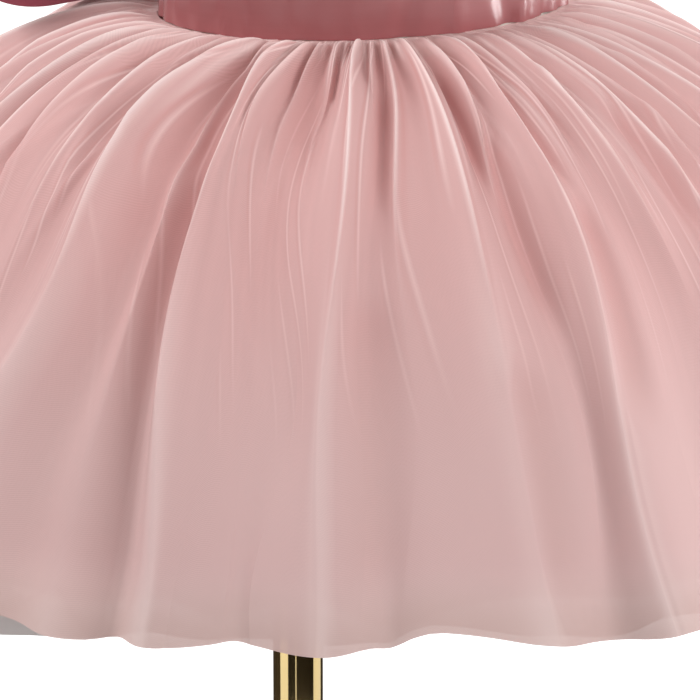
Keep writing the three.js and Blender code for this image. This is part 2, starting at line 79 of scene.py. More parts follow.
# The stand's body: height from the waist, half width, half depth, set back
BODY_SECTIONS = (
    (-0.135, 0.0660, 0.0500, 0.0320),
    (-0.122, 0.0880, 0.0670, 0.0280),
    (-0.095, 0.0960, 0.0760, 0.0220),
    (-0.060, 0.0970, 0.0770, 0.0140),
    (-0.030, 0.0935, 0.0730, 0.0050),
    (-0.014, 0.0922, 0.0712, 0.0006),
    (0.000, 0.0920, 0.0710, 0.0000),
    (0.040, 0.0920, 0.0710, -0.0020),
    (0.080, 0.0950, 0.0720, 0.0000),
    (0.120, 0.0990, 0.0710, 0.0030),
    (0.150, 0.1020, 0.0680, 0.0060),
    (0.175, 0.1010, 0.0600, 0.0090),
    (0.195, 0.0870, 0.0490, 0.0120),
    (0.208, 0.0620, 0.0420, 0.0130),
    (0.220, 0.0430, 0.0390, 0.0130),
    (0.245, 0.0390, 0.0380, 0.0130),
)

# The front's folds, charted one by one: degrees at the waist and at the hem, size, reach down the skirt
FRONT_FOLDS = (
    (-80.0, -85.0, 1.0, 1.00),
    (-74.5, -77.0, 0.9, 0.50),
    (-68.5, -71.0, 1.0, 0.65),
    (-57.0, -66.0, 1.1, 1.00),
    (-53.5, -54.5, 0.7, 1.00),
    (-49.5, -46.5, 1.2, 1.00),
    (-45.5, -43.6, 0.8, 0.40),
    (-42.0, -41.0, 0.4, 0.55),
    (-37.0, -37.2, 0.8, 0.30),
    (-31.5, -33.0, 1.2, 1.00),
    (-28.5, -30.0, 0.7, 0.25),
    (-25.0, -25.5, 0.8, 0.70),
    (-20.5, -13.5, 1.0, 1.00),
    (-14.0, -7.5, 0.9, 0.40),
    (-7.0, -4.0, 1.2, 1.00),
    (-1.5, 3.0, 0.9, 0.35),
    (5.0, 9.5, 1.0, 0.60),
    (13.0, 19.0, 1.0, 1.00),
    (18.5, 25.5, 0.8, 0.45),
    (24.0, 32.0, 1.1, 1.00),
)

# The kinds of fold that take turns round the sides and the back: size, reach
TURNING_KINDS = ((0.8, 0.35), (1.0, 1.0), (0.9, 0.6), (0.7, 0.3), (1.1, 1.0))
TURNING_FOLDS = 43

# Fold heights at shares of the skirt's length
LONG_FOLD_HEIGHTS = (
    (0, 0.0003), (0.012, 0.0012), (0.06, 0.0066), (0.15, 0.0102), (0.3, 0.0126), (0.6, 0.0136),
    (1, 0.016))
SHORT_FOLD_HEIGHTS = (
    (0, 0.0003), (0.012, 0.0012), (0.06, 0.0068), (0.15, 0.0095), (0.3, 0.010), (1, 0.009))
INNER_FOLD_HEIGHTS = ((0, 0.003), (0.1, 0.004), (0.4, 0.006), (1, 0.007))
UNDER_FOLD_HEIGHTS = ((0, 0.002), (0.15, 0.004), (0.5, 0.012), (1, 0.024))

# How deep each layer lies inside the skirt's own line, at shares of its length
OUTER_DEPTHS = ((0, 0.0), (0.012, 0.0002), (0.06, 0.0006), (0.3, 0.0), (1, 0.0))
INNER_DEPTHS = ((0, 0.0092), (0.1, 0.0110), (0.35, 0.0150), (0.7, 0.013), (1, 0.011))
UNDER_DEPTHS = ((0, 0.0136), (0.15, 0.021), (0.35, 0.029), (0.7, 0.034), (1, 0.042))

# Where the tulle sinks in, and where its colour gets painted shade as deep as it sinks: degrees at the
# waist, shares of the length at its ends, half width, depth
VALLEYS = (
    (-76.0, 0.15, 0.45, 1.6, 0.0040),
    (-53.2, 0.05, 0.40, 1.6, 0.0050),
    (-53.0, 0.34, 1.00, 2.4, 0.0032),
    (-36.8, 0.03, 0.30, 1.7, 0.0042),
    (-27.0, 0.15, 0.45, 1.7, 0.0030),
    (-27.8, 0.50, 0.98, 1.9, 0.0030),
    (-16.3, 0.10, 0.42, 2.0, 0.0050),
    (-13.0, 0.24, 0.62, 1.8, 0.0040),
    (-10.2, 0.01, 0.13, 1.5, 0.0025),
    (-5.6, 0.14, 0.42, 1.8, 0.0050),
    (-4.8, 0.36, 0.75, 1.8, 0.0040),
    (-18.6, 0.60, 1.00, 2.2, 0.0034),
    (11.2, 0.20, 0.52, 1.9, 0.0042),
    (29.0, 0.05, 0.28, 2.0, 0.0032),
)
TURNING_VALLEYS = 26
TURNING_VALLEYS_START = 40.0
TURNING_VALLEYS_SPAN = 236.0

# How far the cut edge of the tulle rises above an even hem: degrees at the hem, rise
HEM_RISES = (
    (-75.0, 0.0000),
    (-66.0, 0.0030),
    (-61.4, 0.0040),
    (-58.6, 0.0018),
    (-55.6, -0.0008),
    (-52.2, -0.0020),
    (-50.5, -0.0008),
    (-48.0, 0.0012),
    (-45.3, 0.0000),
    (-42.0, 0.0008),
    (-39.9, 0.0022),
    (-37.8, 0.0012),
    (-35.3, -0.0002),
    (-32.0, -0.0009),
    (-28.8, 0.0000),
    (-27.3, -0.0004),
    (-26.3, 0.0014),
    (-25.5, 0.0034),
    (-23.8, 0.0058),
    (-22.2, 0.0060),
    (-18.9, 0.0044),
    (-15.5, 0.0014),
    (-13.0, -0.0002),
    (-8.6, -0.0026),
    (-6.0, -0.0018),
    (-1.4, 0.0012),
    (12.0, 0.0020),
    (25.0, 0.0000),
)

# The same for the second tulle skirt, which shows under the outer one at the left
INNER_HEM_RISES = (
    (-75.0, 0.0), (-66.0, -0.002), (-61.4, -0.003), (-57.0, -0.001),
    *((place, rise + 0.004) for place, rise in HEM_RISES[5:]),
)

# The same for the underskirt
UNDER_HEM_RISES = (
    (-80.0, 0.000),
    (-60.0, -0.002),
    (-48.0, 0.003),
    (-43.5, -0.006),
    (-36.0, 0.004),
    (-33.5, 0.006),
    (-26.8, -0.006),
    (-20.0, -0.001),
    (-8.0, 0.003),
    (5.0, 0.000),
    (25.0, 0.000),
)

# An even hem, where nothing is charted: height of each wave, waves round the skirt, start in degrees
RULED_HEM = ((0.0020, 9, 20), (0.0015, 17, 0))

# How far the second tulle skirt reaches past the outer one
INNER_LONGER = 0.006

# Folds of the inner layers, and how far round each layer's first one is turned, in folds
INNER_FOLDS, INNER_SHIFT = 32, 0.5
UNDER_FOLDS, UNDER_SHIFT = 16, 0.2

# How far outside the waist seam each layer starts
OUTER_START, INNER_START, UNDER_START = 0.0002, 0.0020, 0.0036

# Columns and rows of each width's mesh
OUTER_GRID, INNER_GRID, UNDER_GRID = (500, 54), (360, 44), (240, 44)

# The tulle's colour half way down; its painted shade at the hem and in its deep valleys low down; and
# its painted highlight along its creases
HAZE_COLOUR = (0.87, 0.635, 0.62)
PAINTED_HEM_SHADE_COLOUR = (0.69, 0.49, 0.46)
PAINTED_VALLEY_SHADE_COLOUR = (0.66, 0.44, 0.41)
PAINTED_CREST_HIGHLIGHT_COLOUR = (0.98, 0.86, 0.84)
# Painted light: the second skirt's net is made much paler at its hem, which lies in shade
INNER_HEM_PAINTED_LIGHT_COLOUR = (0.92, 0.84, 0.82)
UNDER_HEM_COLOUR = (0.76, 0.45, 0.43)

# Lengths down the skirt over which those colours come in
HAZE_SPAN, PAINTED_VALLEY_SHADE_SPAN, HEM_SPAN = (0.12, 0.24), (0.10, 0.24), (0.262, 0.294)

# The net: width of a hole, least and most cover of the outer skirt, and cover of the second one
NET_CELL = 0.0006
NET_COVER = (0.44, 0.54)
INNER_COVER = 0.66

# Fine creases of the net, painted in its colour alone as pale highlight lines with painted shadow
# beside them: number to a metre round the waist, and how they fade
PAINTED_CREASES_PER_METRE = 300.0
CREASE_WANDER = 5.0
CREASE_FADE = -4.6

# Shape of the outer skirt's folds. Widths are shares of the way to the next fold
FOLD_WIDTH_AT_WAIST = 0.60
FOLD_WIDTH_BELOW = 0.72
WIDENING_SHARE = 0.4  # of the length, over which the width changes
FOLD_SHARPNESS = 0.60  # 1 is round
FOLD_SKEW = 0.42  # how lopsided a fold is at the side
FOLD_LEAN = 0.55  # how far a fold leans over at the side
LEAN_CENTRE = -18.0  # degrees from the front, where folds stand upright
FADE_START, FADE_SPAN = 0.5, 0.6  # of a short fold's reach, where it fades
LASTING_REACH = 0.9  # folds that reach further last to the hem
DRIFT_POWER = 0.7  # below 1, threads drift early to their places at the hem
SETTLING_POWER = 1.5  # above 1, the folds settle late
RUMPLE_HEIGHT = 0.0011
MEANDER_DEGREES = 1.6
# Gathers that slant more than this get no painted crest highlight
STEEPEST_SLANT = 6.0  # gathers that slant more have no pale crest
GATHER_RISE, GATHER_SLOPE = 0.0008, 0.45  # most height at the waist, and how it grows down the cloth
# Half width of the painted highlight along each fold's crest
PAINTED_CREST_HALF_WIDTH = 0.0007

# Degrees from the front: the side that droops, and the side that keeps its full line, with how far
# round it does so and over how many degrees the sag then comes in
DROOP_SIDE, FULL_SIDE = 60.0, -30.0
FULL_REACH, SAG_FADE = 22.0, 45.0

# Columns beside each crest, in degrees, and the least gap between two columns
CREST_COLUMNS = (-0.72, -0.5, -0.33, -0.2, -0.1, 0, 0.1, 0.2, 0.33, 0.5, 0.72)
LEAST_COLUMN_GAP = 0.045

# Creases of the bodice: degrees and height at each end, half width, depth (a ridge is above zero)
BODICE_CREASES = (
    (-72, 0.000, -66, 0.052, 0.0050, -0.0010),
    (-58, 0.000, -61, 0.034, 0.0042, 0.0009),
    (-41, 0.000, -36, 0.062, 0.0055, -0.0009),
    (-27, 0.000, -29, 0.026, 0.0038, 0.0008),
    (-14, 0.000, -10, 0.048, 0.0048, -0.0013),
    (2, 0.000, 0, 0.030, 0.0040, 0.0012),
    (19, 0.000, 10, 0.046, 0.0046, -0.0018),
    (24, 0.000, 25, 0.022, 0.0034, 0.0015),
    (37, 0.000, 34, 0.058, 0.0050, -0.0015),
    (52, 0.000, 55, 0.040, 0.0046, 0.0010),
    (68, 0.000, 64, 0.060, 0.0052, -0.0011),
    (84, 0.004, 66, 0.094, 0.0070, -0.0012),
    (-84, 0.006, -64, 0.098, 0.0070, -0.0012),
    (104, 0.000, 108, 0.044, 0.0050, -0.0010),
    (126, 0.000, 122, 0.062, 0.0055, 0.0010),
    (147, 0.000, 151, 0.050, 0.0052, -0.0011),
    (-103, 0.000, -109, 0.052, 0.0052, -0.0011),
    (-124, 0.000, -120, 0.040, 0.0048, 0.0010),
    (-150, 0.000, -146, 0.058, 0.0055, -0.0010),
    (30, 0.086, 62, 0.128, 0.0090, -0.0012),
    (-30, 0.090, -60, 0.130, 0.0090, -0.0012),
)

# Height of the bodice's last row, and of the last stitch along the neckline
BODICE_TOP = 0.211
LAST_NECK_STITCH = 0.2105

# Seams of the stand's cover, in degrees from the front, how wide each shows and how deep it lies
COVER_SEAMS = (0, 38, 90, 142, 180, 218, 270, 322)
COVER_SEAM_WIDTH = 1.6
COVER_SEAM_DEPTH = 0.0007

# Thickness of the bow's satin
BOW_THICKNESS = 0.0010

# Stitches: how far in from the bodice's edges and up from the hem, and from one to the next
STITCH_INSET = 0.0035
HEM_STITCH_HEIGHT = 0.012
BODICE_STITCH, HEM_STITCH = 0.0026, 0.0032

# Sizes of the turned brass that the frame's boxes don't give
BASE_RIM_HEIGHT = 0.007
BOSS_RADIUS = 0.021
CAP_EDGE = 0.003

# The soft lights: name, where its power is kept, place, width, height
LIGHTS = (
    ("key_softbox", "key_light", (0.55, -2.2, 1.25), 1.4, 1.2),
    ("rim_softbox", "rim_light", (-1.5, 0.7, 1.5), 1.2, 1.2),
    ("strip_light", "strip_light", (1.45, -0.45, 0.42), 0.22, 0.9),
)

# Cards that only reflections see: radius, height, ends in degrees from the camera's side, shade
CARDS = (
    (0.24, 0.20, -178, -88, 0.080),
    (0.24, 0.20, -46, -11, 0.030),
    (0.24, 0.20, -7, 76, 0.040),
    (0.24, 0.20, 128, 178, 0.080),
    (2.00, 1.10, -125, 62, 0.030),
)
CARD_COLUMNS = 16

# The surroundings are brightest on this side, the floor reaches this far, and its colour and glow
BRIGHT_SIDE = (0.30, -0.25, 0.90)
FLOOR_REACH = 40.0
FLOOR_COLOURS = ((0.44, 0.44, 0.44), (0.46, 0.46, 0.46))
FLOOR_GLOW = 0.92


def length_property(name, description, length):
    """A length that a user may change, in metres."""
    return bpy.props.FloatProperty(name=name, description=description, default=length, unit="LENGTH")


def angle_property(name, description, degrees):
    """An angle that a user may change."""
    return bpy.props.FloatProperty(
        name=name, description=description, default=math.radians(degrees), subtype="ANGLE")


def colour_property(name, description, colour):
    """A colour that a user may change."""
    return bpy.props.FloatVectorProperty(
        name=name, description=description, subtype="COLOR", size=3, min=0, max=1, default=colour)


class SkirtCut(bpy.types.PropertyGroup):
    """Sizes of the skirt's layers"""
    length: length_property("Tulle length", "Length of both tulle skirts along the cloth", 0.294)
    under_length: length_property(
        "Underskirt length", "Length of the satin underskirt along the cloth", 0.289)
    slope_at_waist: angle_property(
        "Slope at the waist", "How steeply the skirt leaves the waist seam", 9)
    slope_at_hem: angle_property(
        "Slope at the hem", "How steeply the skirt falls at its hem", 68)
    bend_length: length_property(
        "Bend length", "Length of cloth over which the skirt turns down", 0.120)
    bend_power: bpy.props.FloatProperty(
        name="Bend power", description="How late the skirt starts to turn down", default=1.5)
    hem_set_back: length_property("Hem set back", "How far the hem hangs behind the waist", 0.008)
    side_droop: length_property(
        "Side droop", "How far the waist seam's far side hangs lower", 0.008)
    side_sag: length_property(
        "Side sag", "How far the skirt's sides and back sink between waist and hem", 0.0075)
    tulle_thickness: length_property("Tulle thickness", "Thickness of the net with its nap", 0.0004)
    satin_thickness: length_property("Satin thickness", "Thickness of the satin cloth", 0.0008)
    fine_gathers: bpy.props.IntProperty(
        name="Fine gathers", description="Number of fine gathers round the waist seam", default=190)
    seed: bpy.props.IntProperty(name="Seed", description="Seed of the fine gathers", default=7)


class BodiceCut(bpy.types.PropertyGroup):
    """Sizes of the bodice, as heights above the waist seam"""
    underarm: length_property("Underarm", "Lowest point of the armhole", 0.112)
    shoulder_tip: length_property("Shoulder tip", "Outer end of the shoulder seam", 0.197)
    shoulder_neck: length_property("Shoulder at the neck", "Inner end of the shoulder seam", 0.214)
    front_neck: length_property("Front neckline", "Lowest point of the front neckline", 0.150)
    back_neck: length_property("Back neckline", "Lowest point of the back neckline", 0.176)
    neck_half_width: length_property("Neck half width", "Half the width of the neck opening", 0.049)
    armhole_depth: length_property(
        "Armhole half depth", "Half the armhole's size from front to back", 0.033)
    ease: length_property("Ease", "Clearance between the cloth and the stand's body", 0.0007)
    thickness: length_property("Wall", "Thickness of the bodice with its seams", 0.0015)
    pucker: length_property("Pucker", "Height of the puckers along the waist seam", 0.0007)


class BowCut(bpy.types.PropertyGroup):
    """Sizes of the bow at the back"""
    loop_length: length_property("Loop length", "Length of each loop from the bow's middle", 0.156)
    half_depth: length_property("Half depth", "Half the loop's depth where it is fullest", 0.014)
    half_height: length_property("Half height", "Half the loop's height where it is widest", 0.033)
    pinch_half_height: length_property(
        "Half height at the band", "Half the loop's height in the band", 0.011)
    forward_bend: length_property("Forward bend", "How far the loop's end comes forward", 0.010)
    sag: length_property("Sag", "How far the loop's end hangs down", 0.007)
    crease: length_property("Crease", "Height of the creases that leave the band", 0.0016)


class Colours(bpy.types.PropertyGroup):
    """Colours of the cloths and the stand"""
    tulle: colour_property("Tulle", "Soft pink net", (0.86, 0.565, 0.55))
    inner_tulle: colour_property("Inner tulle", "The second skirt's net", (0.82, 0.42, 0.41))
    underskirt: colour_property("Underskirt", "Pink satin of the underskirt", (0.78, 0.37, 0.36))
    satin: colour_property("Bodice satin", "Dusty rose satin", (0.315, 0.095, 0.10))
    bow: colour_property("Bow satin", "Deep rose satin", (0.30, 0.06, 0.09))
    linen: colour_property("Linen", "The stand's pale cover", (0.81, 0.76, 0.69))
    brass: colour_property("Brass", "Polished brass", (0.60, 0.46, 0.22))
    thread: colour_property("Thread", "Sewing thread of the bodice", (0.45, 0.18, 0.18))


class Studio(bpy.types.PropertyGroup):
    """Camera and light of the little photo studio"""
    turn: angle_property(
        "Camera turn", "Camera's angle round the stand from the front, to the left", 30)
    rise: angle_property(
        "Camera rise", "Camera's angle above the horizon", 15.5)
    distance: length_property("Camera distance", "From the camera to the point it looks at", 2.2)
    lens: bpy.props.FloatProperty(
        name="Lens", description="Focal length in millimetres on a 36 mm sensor", default=260.2)
    aim_right: length_property(
        "Aim right", "The aim's place to the right of the waist's centre", -0.0065)
    aim_up: length_property(
        "Aim up", "The aim's place above the waist's centre, in the picture's plane", -0.151)
    world_light: bpy.props.FloatProperty(
        name="World light", description="Strength of the even white surroundings", default=0.32)
    key_light: bpy.props.FloatProperty(
        name="Key light", description="Power of the large soft light in front", default=33.0)
    strip_light: bpy.props.FloatProperty(
        name="Strip light", description="Power of the narrow upright light at the right", default=9.0)
    rim_light: bpy.props.FloatProperty(
        name="Rim light", description="Power of the soft light behind at the left", default=34.0)


def smooth(share):
    """Eased step from 0 to 1."""
    share = np.clip(share, 0, 1)
    return share * share * (3 - 2 * share)


def uneven(number):
    """A fixed uneven number from -1 to 1 for each whole number."""
    return 0.6 * np.sin(2.4 * number) + 0.4 * np.sin(5.3 * number + 1)


def along_table(rows, place):
    """The columns of a table at places in its first column, on a smooth curve through its rows."""
    rows = np.array(rows, float)
    places, values = rows[:, 0], rows[:, 1:]
    last = len(rows) - 1
    above = np.minimum(np.arange(last + 1) + 1, last)
    below = np.maximum(np.arange(last + 1) - 1, 0)
    slopes = (values[above] - values[below]) / (places[above] - places[below])[:, None]
    place = np.asarray(place, float)
    high = np.clip(np.searchsorted(places, place), 1, last)
    span = places[high] - places[high - 1]
    share = ((place - places[high - 1]) / span)[..., None]
    span = span[..., None]
    found = (
        (2 * share**3 - 3 * share**2 + 1) * values[high - 1]
        + (share**3 - 2 * share**2 + share) * slopes[high - 1] * span
        + (3 * share**2 - 2 * share**3) * values[high]
        + (share**3 - share**2) * slopes[high] * span
    )
    return found[..., 0] if values.shape[1] == 1 else np.moveaxis(found, -1, 0)


def point(x, y, z):
    """Points from coordinates on the dress's own axes, which start at the waist's centre."""
    x, y, z = np.broadcast_arrays(x, y + WAIST_FORWARD, z + WAIST_HEIGHT)
    return np.stack([x, y, z], axis=-1)


def square_to(grid):
    """Unit normals of a grid of points, from the lines through each point."""
    normal = np.cross(np.gradient(grid, axis=1), np.gradient(grid, axis=0))
    return normal / np.maximum(np.linalg.norm(normal, axis=-1, keepdims=True), 1e-12)


def new_object(name, data):
    """A new object in the scene."""
    made = bpy.data.objects.new(name, data)
    bpy.context.scene.collection.objects.link(made)
    return made


def mesh_object(name, corners, faces, map_at, crest=None, threads=None):
    """A new mesh object. The faces are turned round together if they point inwards."""
    corners, faces = np.asarray(corners, np.float32), np.asarray(faces, np.int32)
    a, b, c, d = (corners[faces[:, i]].astype(float) for i in range(4))
    volume = (a * np.cross(b, c)).sum() + (a * np.cross(c, d)).sum()
    if volume < 0:
        faces = faces[:, ::-1]
    mesh = bpy.data.meshes.new(name)
    mesh.vertices.add(len(corners))
    mesh.vertices.foreach_set("co", corners.ravel())
    mesh.loops.add(faces.size)
    mesh.loops.foreach_set("vertex_index", faces.ravel())
    mesh.polygons.add(len(faces))
    mesh.polygons.foreach_set("loop_start", np.arange(0, faces.size, 4, dtype=np.int32))
    mesh.update(calc_edges=True)
    mesh.polygons.foreach_set("use_smooth", np.ones(len(faces), bool))
    for title, places in (("cloth", map_at), ("threads", threads)):
        if places is not None:
            layer = mesh.uv_layers.new(name=title)
            layer.uv.foreach_set("vector", np.asarray(places, np.float32)[faces.ravel()].ravel())
    # The crest attribute holds the tulle's painted highlight and painted shade
    if crest is not None:
        marks = mesh.attributes.new("crest", "FLOAT", "POINT")
        marks.data.foreach_set("value", np.asarray(crest, np.float32).ravel())
    mesh.set_sharp_from_angle(angle=math.radians(62))
    if mesh.validate():
        raise RuntimeError(f"{name} has faces that Blender had to mend")
    return new_object(name, mesh)


def grid_faces(numbers):
    """Four-sided faces of a grid of corner numbers."""
    return np.stack(
        [numbers[:-1, :-1], numbers[:-1, 1:], numbers[1:, 1:], numbers[1:, :-1]], axis=-1
    ).reshape(-1, 4)


def cloth_shell(name, outside, inside, map_at, wraps=False, crest=None, threads=None):
    """A closed thin shell of cloth between two grids of points, with a rim along its free edges."""
    rows, columns = outside.shape[:2]
    numbers = np.arange(rows * columns).reshape(rows, columns)
    loop = np.hstack([numbers, numbers[:, :1]]) if wraps else numbers
    under = loop + rows * columns
    parts = [grid_faces(loop), grid_faces(under)[:, ::-1]]
    rims = [loop[0], loop[-1][::-1]]
    if not wraps:
        rims += [loop[::-1, 0], loop[:, -1]]
    for rim in rims:
        below = rim + rows * columns
        parts.append(np.stack([rim[:-1], below[:-1], below[1:], rim[1:]], axis=-1))
    corners = np.concatenate([outside.reshape(-1, 3), inside.reshape(-1, 3)])
    maps = np.concatenate([map_at.reshape(-1, 2)] * 2)
    crest = None if crest is None else np.concatenate([crest.ravel()] * 2)
    threads = None if threads is None else np.concatenate([threads.reshape(-1, 2)] * 2)
    return mesh_object(name, corners, np.concatenate(parts), maps, crest, threads)


def cloth_map(grid):
    """Map places in metres along a grid's rows and columns, so that a weave keeps its real size."""
    across = np.linalg.norm(np.diff(grid, axis=1), axis=-1)
    down = np.linalg.norm(np.diff(grid, axis=0), axis=-1)
    u = np.concatenate([np.zeros((len(grid), 1)), np.cumsum(across, axis=1)], axis=1)
    v = np.concatenate([np.zeros((1, grid.shape[1])), np.cumsum(down, axis=0)], axis=0)
    return np.stack([u - u[:, -1:] / 2, -v], axis=-1)


def finish_piece(piece, material, slot, *nodes):
    """Gives a piece its material and its body, and hides the frame's plain solids. The slot is not
    used.
    """
    piece.data.materials.clear()
    piece.data.materials.append(material)
    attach(piece, BODY)
    if nodes:
        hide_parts(*nodes)
    return piece


def skirt_profile(cut, along):
    """How far out and how far down the skirt's line is at lengths along the cloth, and its slope."""
    def slope(length):
        bend = 1 - np.exp(-((length / cut.bend_length) ** cut.bend_power))
        return cut.slope_at_waist + (cut.slope_at_hem - cut.slope_at_waist) * bend

    steps = np.linspace(0, 0.32, 321)
    middle = slope((steps[1:] + steps[:-1]) / 2)
    out = np.concatenate([[0], np.cumsum(np.diff(steps) * np.cos(middle))])
    drop = np.concatenate([[0], np.cumsum(np.diff(steps) * np.sin(middle))])
    return np.interp(along, steps, out), np.interp(along, steps, drop), slope(along)


def outer_folds():
    """The charted front folds, and the rule's folds round the sides and the back."""
    first, last = FRONT_FOLDS[-1], FRONT_FOLDS[0]
    folds = list(FRONT_FOLDS)
    for place in range(1, TURNING_FOLDS + 1):
        share = (place + 0.28 * uneven(place)) / (TURNING_FOLDS + 1)
        size, reach = TURNING_KINDS[(place - 1) % len(TURNING_KINDS)]
        folds.append((
            first[0] + (last[0] + 360 - first[0]) * share,
            first[1] + (last[1] + 360 - first[1]) * share,
            size * (1 + 0.15 * uneven(place + 7)),
            reach,
        ))
    return np.array(folds)


def outer_valleys():
    """The charted front valleys, and the rule's valleys round the sides and the back."""
    valleys = list(VALLEYS)
    for place in range(TURNING_VALLEYS):
        turned = (place + 0.4 * uneven(place + 2)) * TURNING_VALLEYS_SPAN / TURNING_VALLEYS
        start = 0.16 + 0.14 * uneven(place + 5)
        end = start + 0.42 + 0.26 * uneven(place + 9)
        half, depth = 1.9 + 0.3 * uneven(place), 0.0036 + 0.0012 * uneven(place + 1)
        valleys.append((TURNING_VALLEYS_START + turned, start, end, half, depth))
    return valleys


def inner_folds(count, shift):
    """Evenly turning folds for a layer inside, each a little out of step."""
    place = np.arange(count)
    waist = -80 + (place + shift + 0.25 * uneven(place + count)) * 360 / count
    return np.stack([waist, waist, 1 + 0.12 * uneven(place + 3), np.ones(count)], axis=-1)


def to_neighbour(folds, place, step, reach):
    """Degrees from a fold to the next one on a side that reaches as far."""
    other = place + step
    while folds[other % len(folds), 3] < reach:
        other += step
    turns = other // len(folds)
    return abs(folds[other % len(folds), 0] + 360 * turns - folds[place, 0])


def soft_waves(angle, share):
    """Slow uneven waves round and down the skirt, from about -1 to 1."""
    turn = np.radians(angle)
    total = np.zeros(np.broadcast(angle, share).shape)
    for number in range(1, 9):
        round_waves = 5 + 4 * number + round(2 * uneven(number))
        down = 5 * uneven(number + 20) + 2
        total = total + np.sin(round_waves * turn + down * share + 9 * uneven(number + 40)) / 4
    return total


def turn_between(angle, middle):
    """Degrees from the middle to an angle, from -180 to 180."""
    return (angle - middle + 180) % 360 - 180


class Layer:
    """One layer of the skirt: its folds, and where its points lie."""

    def __init__(self, cut, folds, long_heights, depths, start, length, short_heights=None, crest=1.0):
        self.cut, self.folds, self.start, self.length = cut, folds, start, length
        self.long_heights, self.short_heights, self.depths = long_heights, short_heights, depths
        self.crest = crest
        self.skew = self.lean = self.rumple = self.meander = 0.0
        self.gathers = self.valleys = ()
        self.rises = ((-180.0, 0.0), (180.0, 0.0))
        self.beside = [
            [
                (
                    to_neighbour(folds, place, step, 0),
                    to_neighbour(folds, place, step, min(folds[place, 3], LASTING_REACH)),
                )
                for step in (-1, 1)
            ]
            for place in range(len(folds))
        ]

    def fold_height(self, angle, share):
        """Height of the folds above the layer's lowest line."""
        widening = smooth(share / WIDENING_SHARE)
        total = np.zeros(np.broadcast(angle, share).shape)
        for (waist, _, size, reach), (before, after) in zip(self.folds, self.beside):
            away = turn_between(angle, waist)
            near = np.where(away < 0, before[0], after[0])
            far = np.where(away < 0, before[1], after[1])
            width = FOLD_WIDTH_AT_WAIST * near * (1 - widening) + FOLD_WIDTH_BELOW * far * widening
            skew = self.skew * math.sin(math.radians(waist - LEAN_CENTRE))
            width = width * np.where(away < 0, 1 + skew, 1 - skew)
            off = np.minimum(np.abs(away) / width, 1)
            blunt = np.maximum(0.85 * smooth((share - 0.35) / 0.6), 1 - smooth(share / 0.07))
            crest = self.crest + (1 - self.crest) * blunt
            rounded = np.cos(np.pi / 2 * off**crest) ** 2
            if reach < 1:
                faded = smooth((share / reach - FADE_START) / FADE_SPAN)
                high = along_table(self.short_heights, share) * (1 - faded)
            else:
                high = along_table(self.long_heights, share)
            total = total + high * size * rounded
        for waist, width, high, reach, start, slant in self.gathers:
            away = np.abs(turn_between(angle, waist + slant * share)) / (width * (1 + share / reach))
            along = smooth((share - start) / 0.05 + 0.5) * (1 - smooth((share - start) / reach))
            along = along * smooth(share / 0.035)
            total = total + high * along * np.cos(np.pi / 2 * np.minimum(away, 1)) ** 2
        total = np.minimum(total, GATHER_RISE + GATHER_SLOPE * share * self.length)
        total = total - self.sunk(angle, share).sum(axis=0)
        return total + self.rumple * soft_waves(angle, share) * smooth(share / 0.2)

    def sunk(self, angle, share):
        """How far each valley lets the cloth sink in."""
        found = [np.zeros(np.broadcast(angle, share).shape)]
        for middle, start, end, half, depth in self.valleys:
            off = np.minimum(np.abs(turn_between(angle, middle)) / (half * (1 + share)), 1)
            along = smooth((share - start) / 0.08) * (1 - smooth((share - end + 0.12) / 0.12))
            found.append(depth * along * np.cos(np.pi / 2 * off) ** 2)
        return np.array(found)

    def painted_crest_light_and_shade(self, angle, share):
        """Painted highlight, 1 along the folds' crests where the cloth lies double, and painted shade
        down to -1 in deep valleys and beside the crests.
        """
        out, _, _ = skirt_profile(self.cut, share * self.length)
        half = np.degrees(PAINTED_CREST_HALF_WIDTH / (WAIST_RADIUS + out))
        lines = np.zeros(np.broadcast(angle, share).shape)
        painted_shadows = lines.copy()
        for place, (waist, _, size, reach) in enumerate(self.folds):
            away = turn_between(angle, waist) / half
            lasting = max(0.0, 0.16 + 0.22 * uneven(place + 5))
            fade = 1 - (1 - lasting) * smooth((share - 0.2) / 0.4)
            if reach < 1:
                fade = fade * (1 - smooth((share / reach - 0.3) / 0.6))
            # A broad faint painted highlight along the lower part of each long fold
            lines = np.maximum(lines, np.exp(-(away**2)) * fade * min(size, 1))
            if reach >= 1:
                broad = 0.30 * np.exp(-((away / 6) ** 2)) * smooth((share - 0.35) / 0.3)
                lines = np.maximum(lines, broad * min(size, 1))
            # Painted shadow beside each crest, on its side away from the full side
            beyond = away - math.copysign(2.6, turn_between(waist, FULL_SIDE))
            dark = np.exp(-((beyond / 1.2) ** 2)) * fade * (0.6 + 0.4 * uneven(place))
            painted_shadows = np.maximum(painted_shadows, dark)
        # Painted highlight lines along the gentler gathers
        for waist, _, high, reach, start, slant in self.gathers:
            if abs(slant) > STEEPEST_SLANT:
                continue
            away = turn_between(angle, waist + slant * share) / half
            along = smooth((share - start) / 0.05) * (1 - smooth((share - start) / reach))
            lines = np.maximum(lines, np.exp(-(away**2)) * along * high / 0.003)
        # Painted shade in the low ground between folds near the waist and in the valleys
        low = 1 - self.fold_height(angle, share) / (0.6 * along_table(self.long_heights, share) + 0.001)
        low = np.clip(low, 0, 1) * smooth(share / 0.03) * (1 - smooth((share - 0.25) / 0.45)) * 0.8
        low = np.maximum(low, self.sunk(angle, share).max(axis=0) / 0.006)
        low = np.maximum(low, 0.9 * painted_shadows)
        return lines * smooth(share / 0.02) - low * (1 - lines)

